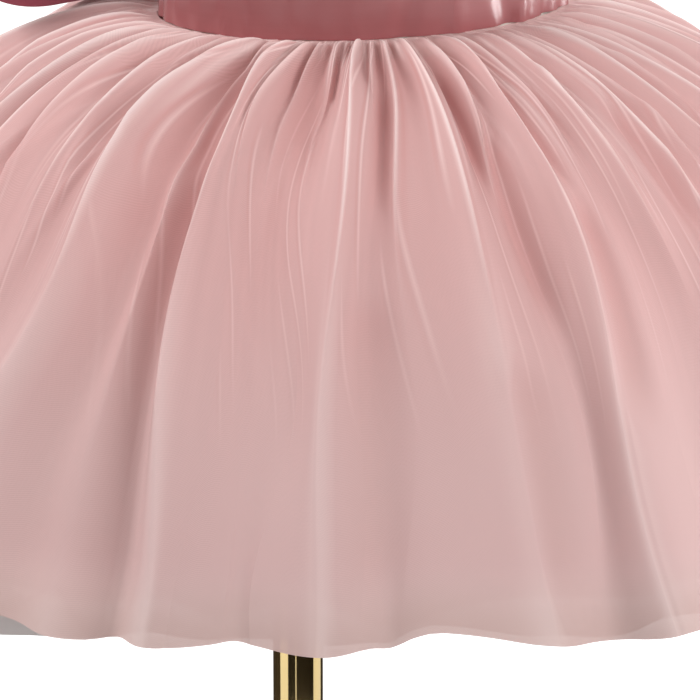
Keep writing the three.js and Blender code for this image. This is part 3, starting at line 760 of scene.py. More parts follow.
    def hem_rise(self, angle):
        """How far the hem rises above an even one: charted in front, by rule elsewhere."""
        turned = turn_between(angle, 0)
        ruled = sum(
            high * np.sin(np.radians(waves * turned + start)) for high, waves, start in RULED_HEM)
        first, last = self.rises[0][0], self.rises[-1][0]
        inside = smooth((turned - first) / 6) * smooth((last - turned) / 6)
        charted = along_table(self.rises, np.clip(turned, first, last))
        return charted * inside + ruled * (1 - inside)

    def drifted(self, angle, share):
        """The angle at which a thread of cloth lies, lower down the skirt."""
        waists = np.append(self.folds[:, 0], self.folds[0, 0] + 360)
        hems = np.append(self.folds[:, 1], self.folds[0, 1] + 360)
        within = waists[0] + (angle - waists[0]) % 360
        drift = (np.interp(within, waists, hems) - within) * share**DRIFT_POWER
        places = np.append(np.arange(len(self.folds)), 0)
        meander = np.sin(uneven(places) * 9 + share * (9 + 4 * uneven(places + 3)))
        meander = meander * (0.5 + 0.3 * uneven(places + 11)) * smooth(share / 0.25) * self.meander
        return angle + drift + np.stack([np.interp(within[0], waists, row) for row in meander])

    def points(self, angle, share):
        """Points of the layer at angles in degrees and shares of its length."""
        cut = self.cut
        along = share * self.length
        out, drop, slope = skirt_profile(cut, along)
        rise = self.fold_height(angle, share) - along_table(self.depths, share)
        lean = (np.pi / 2 - slope) * (1 - share**SETTLING_POWER)
        turned = self.drifted(angle, share)
        away = np.sin(np.radians(turned - LEAN_CENTRE)) * smooth(share / 0.12)
        turned = turned + np.degrees(self.lean * rise * away / (WAIST_RADIUS + out))
        radius = waist_radius(turned) + self.start + out + rise * np.cos(lean)
        side = np.maximum(0, np.cos(np.radians(turned - DROOP_SIDE)))
        droop = cut.side_droop * side * (1 - np.exp(-along / 0.024))
        beside = smooth((np.abs(turn_between(turned, FULL_SIDE)) - FULL_REACH) / SAG_FADE)
        sag = cut.side_sag * beside * smooth(share / 0.3) * (1 - smooth((share - 0.55) / 0.45))
        height = -0.0003 - drop + rise * np.sin(lean) - droop - sag
        height = height + self.hem_rise(turned) * share**7
        round_waist = np.radians(turned)
        back = cut.hem_set_back * share**SETTLING_POWER
        return point(radius * np.sin(round_waist), back - radius * np.cos(round_waist), height)


def waist_radius(angle):
    """Radius of the bodice's outside at the waist seam."""
    width, depth = (size + BODICE_OFF_BODY for size in body_section(0.0)[:2])
    turn = np.radians(angle)
    return width * depth / np.hypot(depth * np.sin(turn), width * np.cos(turn))


def fine_gathers(count, seed):
    """Fine gathers and creases: degrees at the waist, half width, height, reach, start and slant."""
    draw = np.random.default_rng(seed)
    waist = -90 + (np.arange(count) + draw.uniform(-0.4, 0.4, count)) * 360 / count
    gathers = np.stack([
        waist,
        draw.uniform(0.55, 1.15, count),
        draw.uniform(0.0008, 0.0028, count),
        draw.uniform(0.10, 0.55, count) ** 1.2,
        draw.uniform(-0.02, 0.02, count),
        draw.uniform(-6, 6, count),
    ], axis=-1)
    creases = np.stack([
        draw.uniform(-90, 270, count),
        draw.uniform(0.30, 0.55, count),
        draw.uniform(0.0005, 0.0014, count),
        draw.uniform(0.10, 0.40, count),
        draw.uniform(0.0, 0.35, count),
        draw.uniform(-22, 22, count),
    ], axis=-1)
    return np.concatenate([gathers, creases])


def thread_lines(layer, first, columns, is_fine):
    """Angles for the columns of a skirt's width, with more of them close to each fold's crest."""
    angles = np.linspace(first, first + 180, columns + 1)
    if is_fine:
        middle = first + 90
        extra = (turn_between(layer.folds[:, :1], middle) + np.array(CREST_COLUMNS) + middle).ravel()
        extra = extra[(extra > first + 0.1) & (extra < first + 179.9)]
        merged = np.sort(np.concatenate([angles, extra]))
        kept = np.concatenate([[True], np.diff(merged) > LEAST_COLUMN_GAP])
        kept[-1] = True
        angles = merged[kept]
    return angles[None, :]


def skirt_width(name, layer, is_back, grid, thickness, is_fine=False):
    """One width of a skirt layer between the side seams, as a closed thin shell."""
    columns, rows = grid
    first = SIDE_SEAM if is_back else -SIDE_SEAM
    angle = thread_lines(layer, first, columns, is_fine)
    share = (np.linspace(0, 1, rows + 1) ** 1.25)[:, None]
    outside = layer.points(angle, share)
    inward = -square_to(outside)
    centre = point(0, 0, 0)
    if (inward * (outside - centre)).sum() > 0:
        inward = -inward
    # Painted highlight and painted shade, stored as the crest attribute
    crest = layer.painted_crest_light_and_shade(angle, share)
    round_waist = np.radians(angle) * NET_RADIUS
    threads = np.stack(np.broadcast_arrays(round_waist, share * layer.length), axis=-1)
    inside = outside + inward * thickness
    return cloth_shell(name, outside, inside, cloth_map(outside), crest=crest, threads=threads)


def body_section(height):
    """Half width, half depth and set back of the stand's body at heights."""
    return along_table(BODY_SECTIONS, height)


def body_point(height, turn):
    """Points of the stand's body; the turn is the oval section's own."""
    half_width, half_depth, back = body_section(height)
    around = np.radians(turn)
    return point(half_width * np.sin(around), back - half_depth * np.cos(around), height)


def off_body(height, turn, lift):
    """Points lifted off the body, square to it."""
    step = 0.0005
    across = body_point(height, turn + 0.5) - body_point(height, turn - 0.5)
    up = body_point(height + step, turn) - body_point(height - step, turn)
    normal = np.cross(across, up)
    normal /= np.linalg.norm(normal, axis=-1, keepdims=True)
    return body_point(height, turn) + normal * np.asarray(lift)[..., None]


def neck_turn(cut, height, neck_height):
    """Neckline as a turn from the centre line at heights."""
    rise = np.clip((height - neck_height) / (cut.shoulder_neck - neck_height), 0, 1)
    across = cut.neck_half_width * (1 - (1 - rise) ** 2.6) ** (1 / 2.6)
    return np.degrees(np.arcsin(across / body_section(height)[0]))


def arm_turn(cut, height):
    """Armhole as a turn from the centre line at heights."""
    rise = np.clip((height - cut.underarm) / (cut.shoulder_tip - cut.underarm), 0, 1)
    deep = cut.armhole_depth * np.sin(np.pi * rise) ** 0.75
    return np.degrees(np.arccos(np.clip(deep / body_section(height)[1], 0, 1)))


def bodice_relief(cut, height, turn):
    """Creases and puckers of the bodice as a lift off its smooth form."""
    lift = np.zeros(np.broadcast(height, turn).shape)
    for from_turn, from_height, to_turn, to_height, width, depth in BODICE_CREASES:
        x = np.radians(turn_between(turn, from_turn)) * BODICE_RADIUS
        end = math.radians(to_turn - from_turn) * BODICE_RADIUS
        rise = to_height - from_height
        share = np.clip((x * end + (height - from_height) * rise) / (end**2 + rise**2), 0, 1)
        away = np.hypot(x - share * end, height - from_height - share * rise)
        fade = 1 - smooth((share - 0.25) / 0.75)
        lift = lift + depth * fade * np.exp(-((away / width) ** 2))
    wave = np.sin(np.radians(turn * 29) + 1.4 * np.sin(np.radians(turn * 7))) * 0.6
    wave = wave + 0.4 * np.sin(np.radians(turn * 53) + 2.0 * np.sin(np.radians(turn * 11 + 40)))
    gathered = 0.55 + 0.45 * np.sin(np.radians(turn * 2 - 30))
    return lift + cut.pucker * wave * gathered * np.exp(-height / 0.009)


def bodice_panel(cut, name, sides, is_back, columns=60):
    """Halves of a bodice panel, each from its side seam to the centre front or the centre back."""
    neck = cut.back_neck if is_back else cut.front_neck
    ease = np.linspace(0, 1, 34)
    heights = np.unique(np.round(np.concatenate([
        np.linspace(0, BODICE_TOP, 96),
        0.012 * ease**2,
        cut.underarm + (cut.shoulder_tip - cut.underarm) * np.sin(np.pi / 2 * ease) ** 2,
        np.minimum(neck + 0.06 * ease**2.6, BODICE_TOP),
    ]), 5))[:, None]
    share = np.linspace(0, 1, columns + 1)[None, :]
    centre, edge = neck_turn(cut, heights, neck), arm_turn(cut, heights)
    reach = centre + (edge - centre) * share
    halves = []
    for side in sides:
        turn = side * (180 - reach if is_back else reach)
        relief = bodice_relief(cut, heights, turn)
        outside = off_body(heights, turn, cut.ease + cut.thickness + relief)
        inside = off_body(heights, turn, cut.ease + relief * 0.5)
        halves.append(cloth_shell(name, outside, inside, cloth_map(outside)))
    return halves


def new_material(name, colour, **values):
    """A material with one Principled shader, its plain values set on the shader's own sockets."""
    material = bpy.data.materials.new(name)
    material.use_nodes = True
    tree = material.node_tree
    shader = next(node for node in tree.nodes if node.type == "BSDF_PRINCIPLED")
    shader.inputs["Base Color"].default_value = (*colour, 1)
    for key, value in values.items():
        shader.inputs[key.replace("_", " ").title().replace("Ior", "IOR")].default_value = value
    return material, tree, shader


def add_node(tree, kind, settings=None, **inputs):
    """A new node with its settings and input values."""
    node = tree.nodes.new(kind)
    for key, value in (settings or {}).items():
        setattr(node, key, value)
    for key, value in inputs.items():
        node.inputs[key].default_value = value
    return node


def maths(tree, operation, first, second=None, third=None):
    """A Math node fed by sockets or numbers; gives its output socket."""
    node = tree.nodes.new("ShaderNodeMath")
    node.operation = operation
    for place, value in enumerate((first, second, third)):
        if value is None:
            continue
        if isinstance(value, (int, float)):
            node.inputs[place].default_value = value
        else:
            tree.links.new(value, node.inputs[place])
    return node.outputs[0]


def mixed(tree, factor, first, second):
    """A colour between two, by a factor socket; gives its output socket."""
    node = add_node(tree, "ShaderNodeMix", {"data_type": "RGBA"})
    tree.links.new(factor, node.inputs["Factor"])
    for name, value in (("A", first), ("B", second)):
        socket = next(s for s in node.inputs if s.name == name and s.type == "RGBA")
        if isinstance(value, tuple):
            socket.default_value = (*value, 1)
        else:
            tree.links.new(value, socket)
    return next(s for s in node.outputs if s.type == "RGBA")


def tinted(colour, share):
    """A colour made lighter or darker."""
    return tuple(min(1.0, channel * share) for channel in colour)


def mapped(tree, scale, kind="UV"):
    """Texture coordinates of the piece's own map or of its place, times a scale."""
    place = tree.nodes.new("ShaderNodeTexCoord")
    mapping = add_node(tree, "ShaderNodeMapping")
    mapping.inputs["Scale"].default_value = scale if isinstance(scale, tuple) else (scale,) * 3
    tree.links.new(place.outputs[kind], mapping.inputs["Vector"])
    return mapping.outputs["Vector"]


def stretched(tree, node, scale):
    """A map's places times a scale."""
    mapping = add_node(tree, "ShaderNodeMapping")
    mapping.inputs["Scale"].default_value = scale
    tree.links.new(node.outputs["UV"], mapping.inputs["Vector"])
    return mapping.outputs["Vector"]


def noise(tree, vector, scale, detail=3.0, roughness=0.55):
    """Soft random patches; gives their output socket."""
    node = add_node(tree, "ShaderNodeTexNoise", Scale=scale, Detail=detail, Roughness=roughness)
    tree.links.new(vector, node.inputs["Vector"])
    return node.outputs["Fac"]


def bump(tree, shader, height, distance, strength):
    """Raises the fine relief of a surface."""
    node = add_node(tree, "ShaderNodeBump", Strength=strength, Distance=distance)
    tree.links.new(height, node.inputs["Height"])
    tree.links.new(node.outputs["Normal"], shader.inputs["Normal"])


def edge_line(tree, place, narrowness):
    """1 along the borders of uneven cells in a row, 0 between them."""
    settings = {"voronoi_dimensions": "1D", "feature": "DISTANCE_TO_EDGE"}
    cells = add_node(tree, "ShaderNodeTexVoronoi", settings, Scale=1.0)
    tree.links.new(place, cells.inputs["W"])
    line = maths(tree, "MULTIPLY_ADD", cells.outputs["Distance"], -narrowness, 1.0)
    return maths(tree, "MAXIMUM", line, 0.0)


def thread_map(tree):
    """The skirt's second map, metres round the waist and down the cloth, whole and as its two parts."""
    threads = add_node(tree, "ShaderNodeUVMap", {"uv_map": "threads"})
    parts = tree.nodes.new("ShaderNodeSeparateXYZ")
    tree.links.new(threads.outputs["UV"], parts.inputs["Vector"])
    return threads, parts.outputs["X"], parts.outputs["Y"]


def toward_hem(tree, span):
    """0 above a length down the skirt, 1 below another."""
    down = thread_map(tree)[2]
    share = add_node(tree, "ShaderNodeMapRange", {"interpolation_type": "SMOOTHSTEP"})
    share.inputs["From Min"].default_value, share.inputs["From Max"].default_value = span
    tree.links.new(down, share.inputs["Value"])
    return share.outputs["Result"]


def net_threads(tree):
    """1 on the threads of a net with six-sided holes, 0 in the middle of a hole."""
    place = mapped(tree, 1.0)
    wave = 2 * math.pi / (NET_CELL * math.cos(math.radians(30)))
    total = None
    for turn in (0, 60, 120):
        along = add_node(tree, "ShaderNodeVectorMath", {"operation": "DOT_PRODUCT"})
        along.inputs[1].default_value = (
            wave * math.cos(math.radians(turn)), wave * math.sin(math.radians(turn)), 0)
        tree.links.new(place, along.inputs[0])
        ripple = maths(tree, "COSINE", along.outputs["Value"])
        total = ripple if total is None else maths(tree, "ADD", total, ripple)
    return maths(tree, "MULTIPLY_ADD", total, -1 / 4.5, 3 / 4.5)


def painted_fine_creases(tree, threads, across, down):
    """Painted highlights of fine creases in the net from the waist down, and the painted shadow lines
    beside them.
    """
    wander = noise(tree, stretched(tree, threads, (14.0, 6.0, 1.0)), 1.0, 0.0)
    place = maths(tree, "MULTIPLY", across, PAINTED_CREASES_PER_METRE)
    place = maths(tree, "MULTIPLY_ADD", wander, CREASE_WANDER, place)
    near = maths(tree, "MAXIMUM", maths(tree, "MULTIPLY_ADD", down, CREASE_FADE, 1.0), 0.0)
    patches = noise(tree, stretched(tree, threads, (170.0, 9.0, 1.0)), 1.0, 0.0)
    patches = maths(tree, "MAXIMUM", maths(tree, "MULTIPLY_ADD", patches, 6.0, -2.7), 0.0)
    patches = maths(tree, "MULTIPLY", maths(tree, "MINIMUM", patches, 1.0), near)
    pale = maths(tree, "MULTIPLY", edge_line(tree, place, 10.0), patches)
    dark = edge_line(tree, maths(tree, "ADD", place, 0.17), 8.0)
    dark = maths(tree, "MULTIPLY", dark, patches)
    return maths(tree, "MULTIPLY", pale, 0.85), maths(tree, "MULTIPLY", dark, -0.8)


def tulle_material(name, colour, least, most):
    """Soft net with holes about half a millimetre wide and a matt nap, with painted highlights along
    its creases and painted shade in its valleys and at its hem.
    """
    material, tree, shader = new_material(
        name, colour, roughness=0.85, sheen_weight=0.65, sheen_roughness=0.36,
        specular_ior_level=0.08)
    shader.inputs["Sheen Tint"].default_value = (1.0, 0.86, 0.84, 1)
    threads, across, down = thread_map(tree)
    streaks = noise(tree, stretched(tree, threads, (700.0, 7.0, 1.0)), 1.0, 0.0)
    pale = mixed(tree, streaks, tinted(colour, 0.94), tinted(colour, 1.05))
    pale = mixed(tree, toward_hem(tree, HAZE_SPAN), pale, HAZE_COLOUR)
    # Painted shade towards the hem, where the skirt's inside lies in shade behind the net
    hem = toward_hem(tree, HEM_SPAN)
    pale = mixed(tree, hem, pale, PAINTED_HEM_SHADE_COLOUR)
    # Painted highlight above zero and painted shade below zero, from the crest attribute
    crest = add_node(tree, "ShaderNodeAttribute", {"attribute_name": "crest"}).outputs["Fac"]
    fine, dark = painted_fine_creases(tree, threads, across, down)
    high = maths(tree, "MULTIPLY", maths(tree, "MAXIMUM", crest, fine), 0.75)
    low = maths(tree, "MULTIPLY", maths(tree, "MINIMUM", crest, dark), -0.58)
    # The painted highlight: a paler colour along crests and fine creases
    shade = mixed(tree, high, pale, PAINTED_CREST_HIGHLIGHT_COLOUR)
    # The painted valley shade: a darker, deeper tone of the net, turning to a set colour lower down
    deep = tuple(channel**1.9 for channel in colour)
    deep = mixed(tree, toward_hem(tree, PAINTED_VALLEY_SHADE_SPAN), deep, PAINTED_VALLEY_SHADE_COLOUR)
    tree.links.new(mixed(tree, low, shade, deep), shader.inputs["Base Color"])
    cover = maths(tree, "MULTIPLY_ADD", net_threads(tree), most - least, least)
    # The painted highlight also makes the net cover more
    cover = maths(tree, "MULTIPLY_ADD", high, 0.45, cover)
    tree.links.new(maths(tree, "MULTIPLY_ADD", hem, 0.26, cover), shader.inputs["Alpha"])
    return material


def inner_tulle_material(name, colour, cover):
    """The net of the second skirt, seen only through the outer one: plain, with painted light that
    makes it paler and greyer at its hem.
    """
    material, tree, shader = new_material(
        name, colour, roughness=0.9, specular_ior_level=0.05, alpha=cover)
    shade = mixed(tree, toward_hem(tree, HEM_SPAN), tuple(colour), INNER_HEM_PAINTED_LIGHT_COLOUR)
    tree.links.new(shade, shader.inputs["Base Color"])
    return material


def satin_material(name, colour, roughness, streak=0.06, hem_colour=None):
    """Woven satin: long floats across, a soft shine and slight slubs."""
    material, tree, shader = new_material(
        name, colour, roughness=roughness, specular_ior_level=0.62, sheen_weight=0.12,
        sheen_roughness=0.35, coat_weight=0.20, coat_roughness=0.22, anisotropic=0.35)
    shader.inputs["Sheen Tint"].default_value = (1.0, 0.75, 0.74, 1)
    weave = noise(tree, mapped(tree, (900.0, 5200.0, 1.0)), 1.0, 2.0)
    slubs = noise(tree, mapped(tree, (14.0, 420.0, 1.0)), 1.0, 3.0)
    soft = noise(tree, mapped(tree, 1.0), 22.0, 2.0)
    shade = mixed(tree, slubs, tinted(colour, 0.88), tinted(colour, 1.12))
    shade = mixed(tree, soft, shade, tinted(colour, 1.05))
    if hem_colour:
        shade = mixed(tree, toward_hem(tree, HEM_SPAN), shade, hem_colour)
    tree.links.new(shade, shader.inputs["Base Color"])
    gloss = maths(tree, "MULTIPLY_ADD", slubs, streak, roughness - streak / 2)
    tree.links.new(gloss, shader.inputs["Roughness"])
    bump(tree, shader, weave, 0.00012, 0.35)
    return material


def linen_material(colour):
    """Plain woven linen with thick and thin threads."""
    material, tree, shader = new_material(
        "Linen cover", colour, roughness=0.88, sheen_weight=0.2, specular_ior_level=0.2)
    place = mapped(tree, 1.0)
    threads = []
    for turn in (0, 90):
        bands = add_node(tree, "ShaderNodeTexWave", {"wave_profile": "SIN"},
                         Scale=180.0, Distortion=1.6, Detail=2.0)
        bands.bands_direction = "X" if turn == 0 else "Y"
        tree.links.new(place, bands.inputs["Vector"])
        threads.append(bands.outputs["Fac"])
    weave = maths(tree, "MULTIPLY", threads[0], threads[1])
    slubs = noise(tree, mapped(tree, (900.0, 60.0, 1.0)), 1.0)
    shade = mixed(tree, slubs, tinted(colour, 0.90), tinted(colour, 1.06))
    tree.links.new(mixed(tree, weave, tinted(colour, 0.88), shade), shader.inputs["Base Color"])
    bump(tree, shader, weave, 0.0003, 0.6)
    return material


def brass_material(colour):
    """Polished brass with faint turning marks."""
    material, tree, shader = new_material("Polished brass", colour, roughness=0.16, metallic=1.0)
    marks = noise(tree, mapped(tree, (4.0, 4.0, 900.0), "Object"), 1.0, 2.0)
    dull = noise(tree, mapped(tree, 1.0, "Object"), 30.0)
    tree.links.new(maths(tree, "MULTIPLY_ADD", dull, 0.07, 0.04), shader.inputs["Roughness"])
    shade = mixed(tree, dull, tinted(colour, 0.92), tinted(colour, 1.05))
    tree.links.new(shade, shader.inputs["Base Color"])
    bump(tree, shader, marks, 0.00003, 0.25)
    return material


def thread_material(name, colour):
    """Twisted sewing thread."""
    material, tree, shader = new_material(
        name, colour, roughness=0.55, sheen_weight=0.3, specular_ior_level=0.4)
    twist = noise(tree, mapped(tree, 1.0, "Object"), 2600.0)
    shade = mixed(tree, twist, tinted(colour, 0.8), tinted(colour, 1.15))
    tree.links.new(shade, shader.inputs["Base Color"])
    return material


def new_tree(name, **inputs):
    """A Geometry Nodes tree with a geometry input and output and named inputs for its sizes."""
    tree = bpy.data.node_groups.new(name, "GeometryNodeTree")
    tree.interface.new_socket("Geometry", in_out="INPUT", socket_type="NodeSocketGeometry")
    tree.interface.new_socket("Geometry", in_out="OUTPUT", socket_type="NodeSocketGeometry")
    for key, (kind, value) in inputs.items():
        socket = tree.interface.new_socket(key, in_out="INPUT", socket_type=kind)
        if value is not None:
            socket.default_value = value
    return tree, tree.nodes.new("NodeGroupInput"), tree.nodes.new("NodeGroupOutput")


def join(tree, *links):
    """Joins nodes; each link is a node, its output, the next node and its input."""
    for source, output, target, entry in links:
        tree.links.new(source.outputs[output], target.inputs[entry])


def stitch_tree():
    """Small stitches along lines: each a short rounded piece of thread that follows the line."""
    tree, start, end = new_tree(
        "Stitch row",
        Spacing=("NodeSocketFloat", 0.003),
        Length=("NodeSocketFloat", 0.0011),
        Radius=("NodeSocketFloat", 0.00022),
        Seed=("NodeSocketInt", 3),
        Thread=("NodeSocketMaterial", None),
    )
    curve = tree.nodes.new("GeometryNodeMeshToCurve")
    places = add_node(tree, "GeometryNodeCurveToPoints", {"mode": "LENGTH"})
    stitch = add_node(tree, "GeometryNodeMeshUVSphere", Segments=6, Rings=4, Radius=1.0)
    size = tree.nodes.new("ShaderNodeCombineXYZ")
    spread = add_node(tree, "FunctionNodeRandomValue", {"data_type": "FLOAT"})
    spread.inputs[2].default_value, spread.inputs[3].default_value = 0.85, 1.12
    long = add_node(tree, "ShaderNodeMath", {"operation": "MULTIPLY"})
    copies = tree.nodes.new("GeometryNodeInstanceOnPoints")
    real = tree.nodes.new("GeometryNodeRealizeInstances")
    rounded = tree.nodes.new("GeometryNodeSetShadeSmooth")
    coloured = tree.nodes.new("GeometryNodeSetMaterial")
    join(
        tree,
        (start, "Geometry", curve, "Mesh"),
        (curve, "Curve", places, "Curve"),
        (start, "Spacing", places, "Length"),
        (places, "Points", copies, "Points"),
        (places, "Rotation", copies, "Rotation"),
        (stitch, "Mesh", copies, "Instance"),
        (start, "Seed", spread, "Seed"),
        (start, "Length", long, 0),
        (spread, 1, long, 1),
        (start, "Radius", size, "X"),
        (start, "Radius", size, "Y"),
        (long, "Value", size, "Z"),
        (size, "Vector", copies, "Scale"),
        (copies, "Instances", real, "Geometry"),
        (real, "Geometry", rounded, "Geometry"),
        (rounded, "Geometry", coloured, "Geometry"),
        (start, "Thread", coloured, "Material"),
        (coloured, "Geometry", end, "Geometry"),
    )
    return tree


def turned_tree():
    """A turned piece: the input's points, as (radius, 0, height), swept once round the Z axis."""
    tree, start, end = new_tree(
        "Turned piece",
        Sides=("NodeSocketInt", 96),
        Points=("NodeSocketInt", 8),
        Finish=("NodeSocketMaterial", None),
    )
    more = add_node(tree, "ShaderNodeMath", {"operation": "ADD"})
    more.inputs[1].default_value = 1
    sheet = add_node(tree, "GeometryNodeMeshGrid")
    sheet.inputs["Size X"].default_value = sheet.inputs["Size Y"].default_value = 1.0
    at = tree.nodes.new("GeometryNodeInputPosition")
    apart = tree.nodes.new("ShaderNodeSeparateXYZ")
    turn = add_node(tree, "ShaderNodeMath", {"operation": "MULTIPLY_ADD"})
    turn.inputs[1].default_value, turn.inputs[2].default_value = -2 * math.pi, math.pi
    less = add_node(tree, "ShaderNodeMath", {"operation": "SUBTRACT"})
    less.inputs[1].default_value = 1
    down = add_node(tree, "ShaderNodeMath", {"operation": "ADD"})
    down.inputs[1].default_value = 0.5
    row = add_node(tree, "ShaderNodeMath", {"operation": "MULTIPLY"})
    whole = add_node(tree, "ShaderNodeMath", {"operation": "ROUND"})
    found = add_node(tree, "GeometryNodeSampleIndex", {"data_type": "FLOAT_VECTOR", "domain": "POINT"})
    place = tree.nodes.new("GeometryNodeInputPosition")
    outline = tree.nodes.new("ShaderNodeSeparateXYZ")
    sine = add_node(tree, "ShaderNodeMath", {"operation": "SINE"})
    cosine = add_node(tree, "ShaderNodeMath", {"operation": "COSINE"})
    x = add_node(tree, "ShaderNodeMath", {"operation": "MULTIPLY"})
    y = add_node(tree, "ShaderNodeMath", {"operation": "MULTIPLY"})
    swept = tree.nodes.new("ShaderNodeCombineXYZ")
    moved = tree.nodes.new("GeometryNodeSetPosition")
    merged = add_node(tree, "GeometryNodeMergeByDistance")
    merged.inputs["Distance"].default_value = 1e-6
    real = tree.nodes.new("GeometryNodeRealizeInstances")
    coloured = tree.nodes.new("GeometryNodeSetMaterial")
    join(
        tree,
        (start, "Sides", more, 0),
        (more, "Value", sheet, "Vertices X"),
        (start, "Points", sheet, "Vertices Y"),
        (at, "Position", apart, "Vector"),
        (apart, "X", turn, 0),
        (apart, "Y", down, 0),
        (start, "Points", less, 0),
        (down, "Value", row, 0),
        (less, "Value", row, 1),
        (row, "Value", whole, 0),
        (start, "Geometry", found, "Geometry"),
        (place, "Position", found, "Value"),
        (whole, "Value", found, "Index"),
        (found, "Value", outline, "Vector"),
        (turn, "Value", sine, 0),
        (turn, "Value", cosine, 0),
        (outline, "X", x, 0),
        (sine, "Value", x, 1),
        (outline, "X", y, 0),
        (cosine, "Value", y, 1),
        (x, "Value", swept, "X"),
        (y, "Value", swept, "Y"),
        (outline, "Z", swept, "Z"),
        (sheet, "Mesh", moved, "Geometry"),
        (swept, "Vector", moved, "Position"),
        (moved, "Geometry", merged, "Geometry"),
        (merged, "Geometry", real, "Geometry"),
        (real, "Geometry", coloured, "Geometry"),
        (start, "Finish", coloured, "Material"),
        (coloured, "Geometry", end, "Geometry"),
    )
    return tree


def made_by_nodes(name, tree, corners, edges, **inputs):
    """A plain mesh made by a Geometry Nodes tree from points and edges."""
    source = bpy.data.meshes.new(f"{name}_lines")
    source.from_pydata([tuple(map(float, corner)) for corner in corners], edges, [])
    maker = new_object(f"{name}_maker", source)
    nodes = maker.modifiers.new("Nodes", "NODES")
    nodes.node_group = tree
    for item in tree.interface.items_tree:
        if item.in_out == "INPUT" and item.name in inputs:
            nodes[item.identifier] = inputs[item.name]
    view = bpy.context.evaluated_depsgraph_get()
    mesh = bpy.data.meshes.new_from_object(
        maker.evaluated_get(view), preserve_all_data_layers=True, depsgraph=view)
    maker.modifiers.remove(nodes)
    bpy.data.objects.remove(maker)
    mesh.name = name
    if not mesh.polygons:
        raise RuntimeError(f"{name} came out empty")
    return new_object(name, mesh)


def rounded_outline(corners, radius, steps=4):
    """A profile with all its corners but the first and the last rounded."""
    made = [corners[0]]
    for before, corner, after in zip(*(map(Vector, corners[shift:]) for shift in range(3))):
        back, on = before - corner, after - corner
        cut = min(radius, back.length * 0.45, on.length * 0.45)
        first, last = corner + back.normalized() * cut, corner + on.normalized() * cut
        for step in range(steps + 1):
            share = step / steps
            bend = first * (1 - share) ** 2 + corner * 2 * share * (1 - share) + last * share**2
            made.append(tuple(bend))
    made.append(corners[-1])
    return made


class DRESS_OT_stand_metal(bpy.types.Operator):
    """Turns the brass pole, base and neck cap"""
    bl_idname = "dress.stand_metal"
    bl_label = "Stand's brass"

    def execute(self, context):
        brass = brass_material(context.scene.dress_colours.brass)
        base_radius, boss = BASE_HIGH.x, BASE_HIGH.z
        pole_radius, cap_radius = POLE_HIGH.x, CAP_HIGH.x
        rim = BASE_RIM_HEIGHT
        cap_height = CAP_HIGH.z - CAP_LOW.z
        outlines = {
            "stand_base": [
                (0, 0), (base_radius - 0.002, 0), (base_radius, 0.002), (base_radius, rim - 0.002),
                (base_radius - 0.003, rim), (BOSS_RADIUS + 0.012, rim + 0.004),
                (BOSS_RADIUS + 0.002, rim + 0.009), (BOSS_RADIUS, rim + 0.015),
                (BOSS_RADIUS, boss - 0.002), (BOSS_RADIUS - 0.002, boss), (0, boss)],
            "stand_pole": [
                (0, POLE_LOW.z), (pole_radius, POLE_LOW.z), (pole_radius, POLE_HIGH.z),
                (0, POLE_HIGH.z)],
            "stand_neck_cap": [
                (0, 0), (cap_radius, 0), (cap_radius, cap_height - 0.005),
                (cap_radius - CAP_EDGE, cap_height - 0.002), (cap_radius - 0.012, cap_height),
                (0, cap_height)],
        }
        tree = turned_tree()
        for node, corners in outlines.items():
            outline = rounded_outline(corners, 0.0012)
            piece = made_by_nodes(
                f"{node}_turned", tree, [(radius, 0, height) for radius, height in outline], [],
                Sides=96, Points=len(outline), Finish=brass)
            if node == "stand_neck_cap":
                middle = (CAP_LOW + CAP_HIGH) / 2
                for vertex in piece.data.vertices:
                    vertex.co += Vector((middle.x, middle.y, CAP_LOW.z))
            piece.data.shade_smooth()
            piece.data.set_sharp_from_angle(angle=math.radians(40))
            finish_piece(piece, brass, "stand_brass", node)
        return {"FINISHED"}


class DRESS_OT_stand_body(bpy.types.Operator):
    """Makes the stand's padded body in its linen cover"""
    bl_idname = "dress.stand_body"
    bl_label = "Stand's body"

    def execute(self, context):
        columns = 180
        lowest, highest = BODY_SECTIONS[0][0], BODY_SECTIONS[-1][0]
        heights = np.linspace(lowest, highest, 120)[:, None]
        turn = np.arange(columns)[None, :] * 360 / columns
        seam = np.zeros((len(heights), columns))
        for angle in COVER_SEAMS:
            seam = seam + np.exp(-((turn_between(turn, angle) / COVER_SEAM_WIDTH) ** 2))
        sides = off_body(heights, turn, -COVER_SEAM_DEPTH * seam)
        middle = sides.mean(axis=1, keepdims=True)
        rings = (1, 0.66, 0.33, 0.06)
        lower = [sides[:1] + (middle[:1] - sides[:1]) * share for share in rings]
        upper = [sides[-1:] + (middle[-1:] - sides[-1:]) * share for share in reversed(rings)]
        grid = np.concatenate([*lower, sides, *upper])
        rows = len(grid)
        numbers = np.arange(rows * columns).reshape(rows, columns)
        numbers[0], numbers[-1] = numbers[0, 0], numbers[-1, 0]
        loop = np.hstack([numbers, numbers[:, :1]])
        girth = turn * math.pi / 180 * BODICE_RADIUS
        maps = np.stack(np.broadcast_arrays(girth, grid[..., 2]), axis=-1).reshape(-1, 2)
        piece = body_mesh("stand_body_cover", grid.reshape(-1, 3), grid_faces(loop), maps)
        linen = linen_material(context.scene.dress_colours.linen)
        finish_piece(piece, linen, "body_cover", "stand_body")
        return {"FINISHED"}


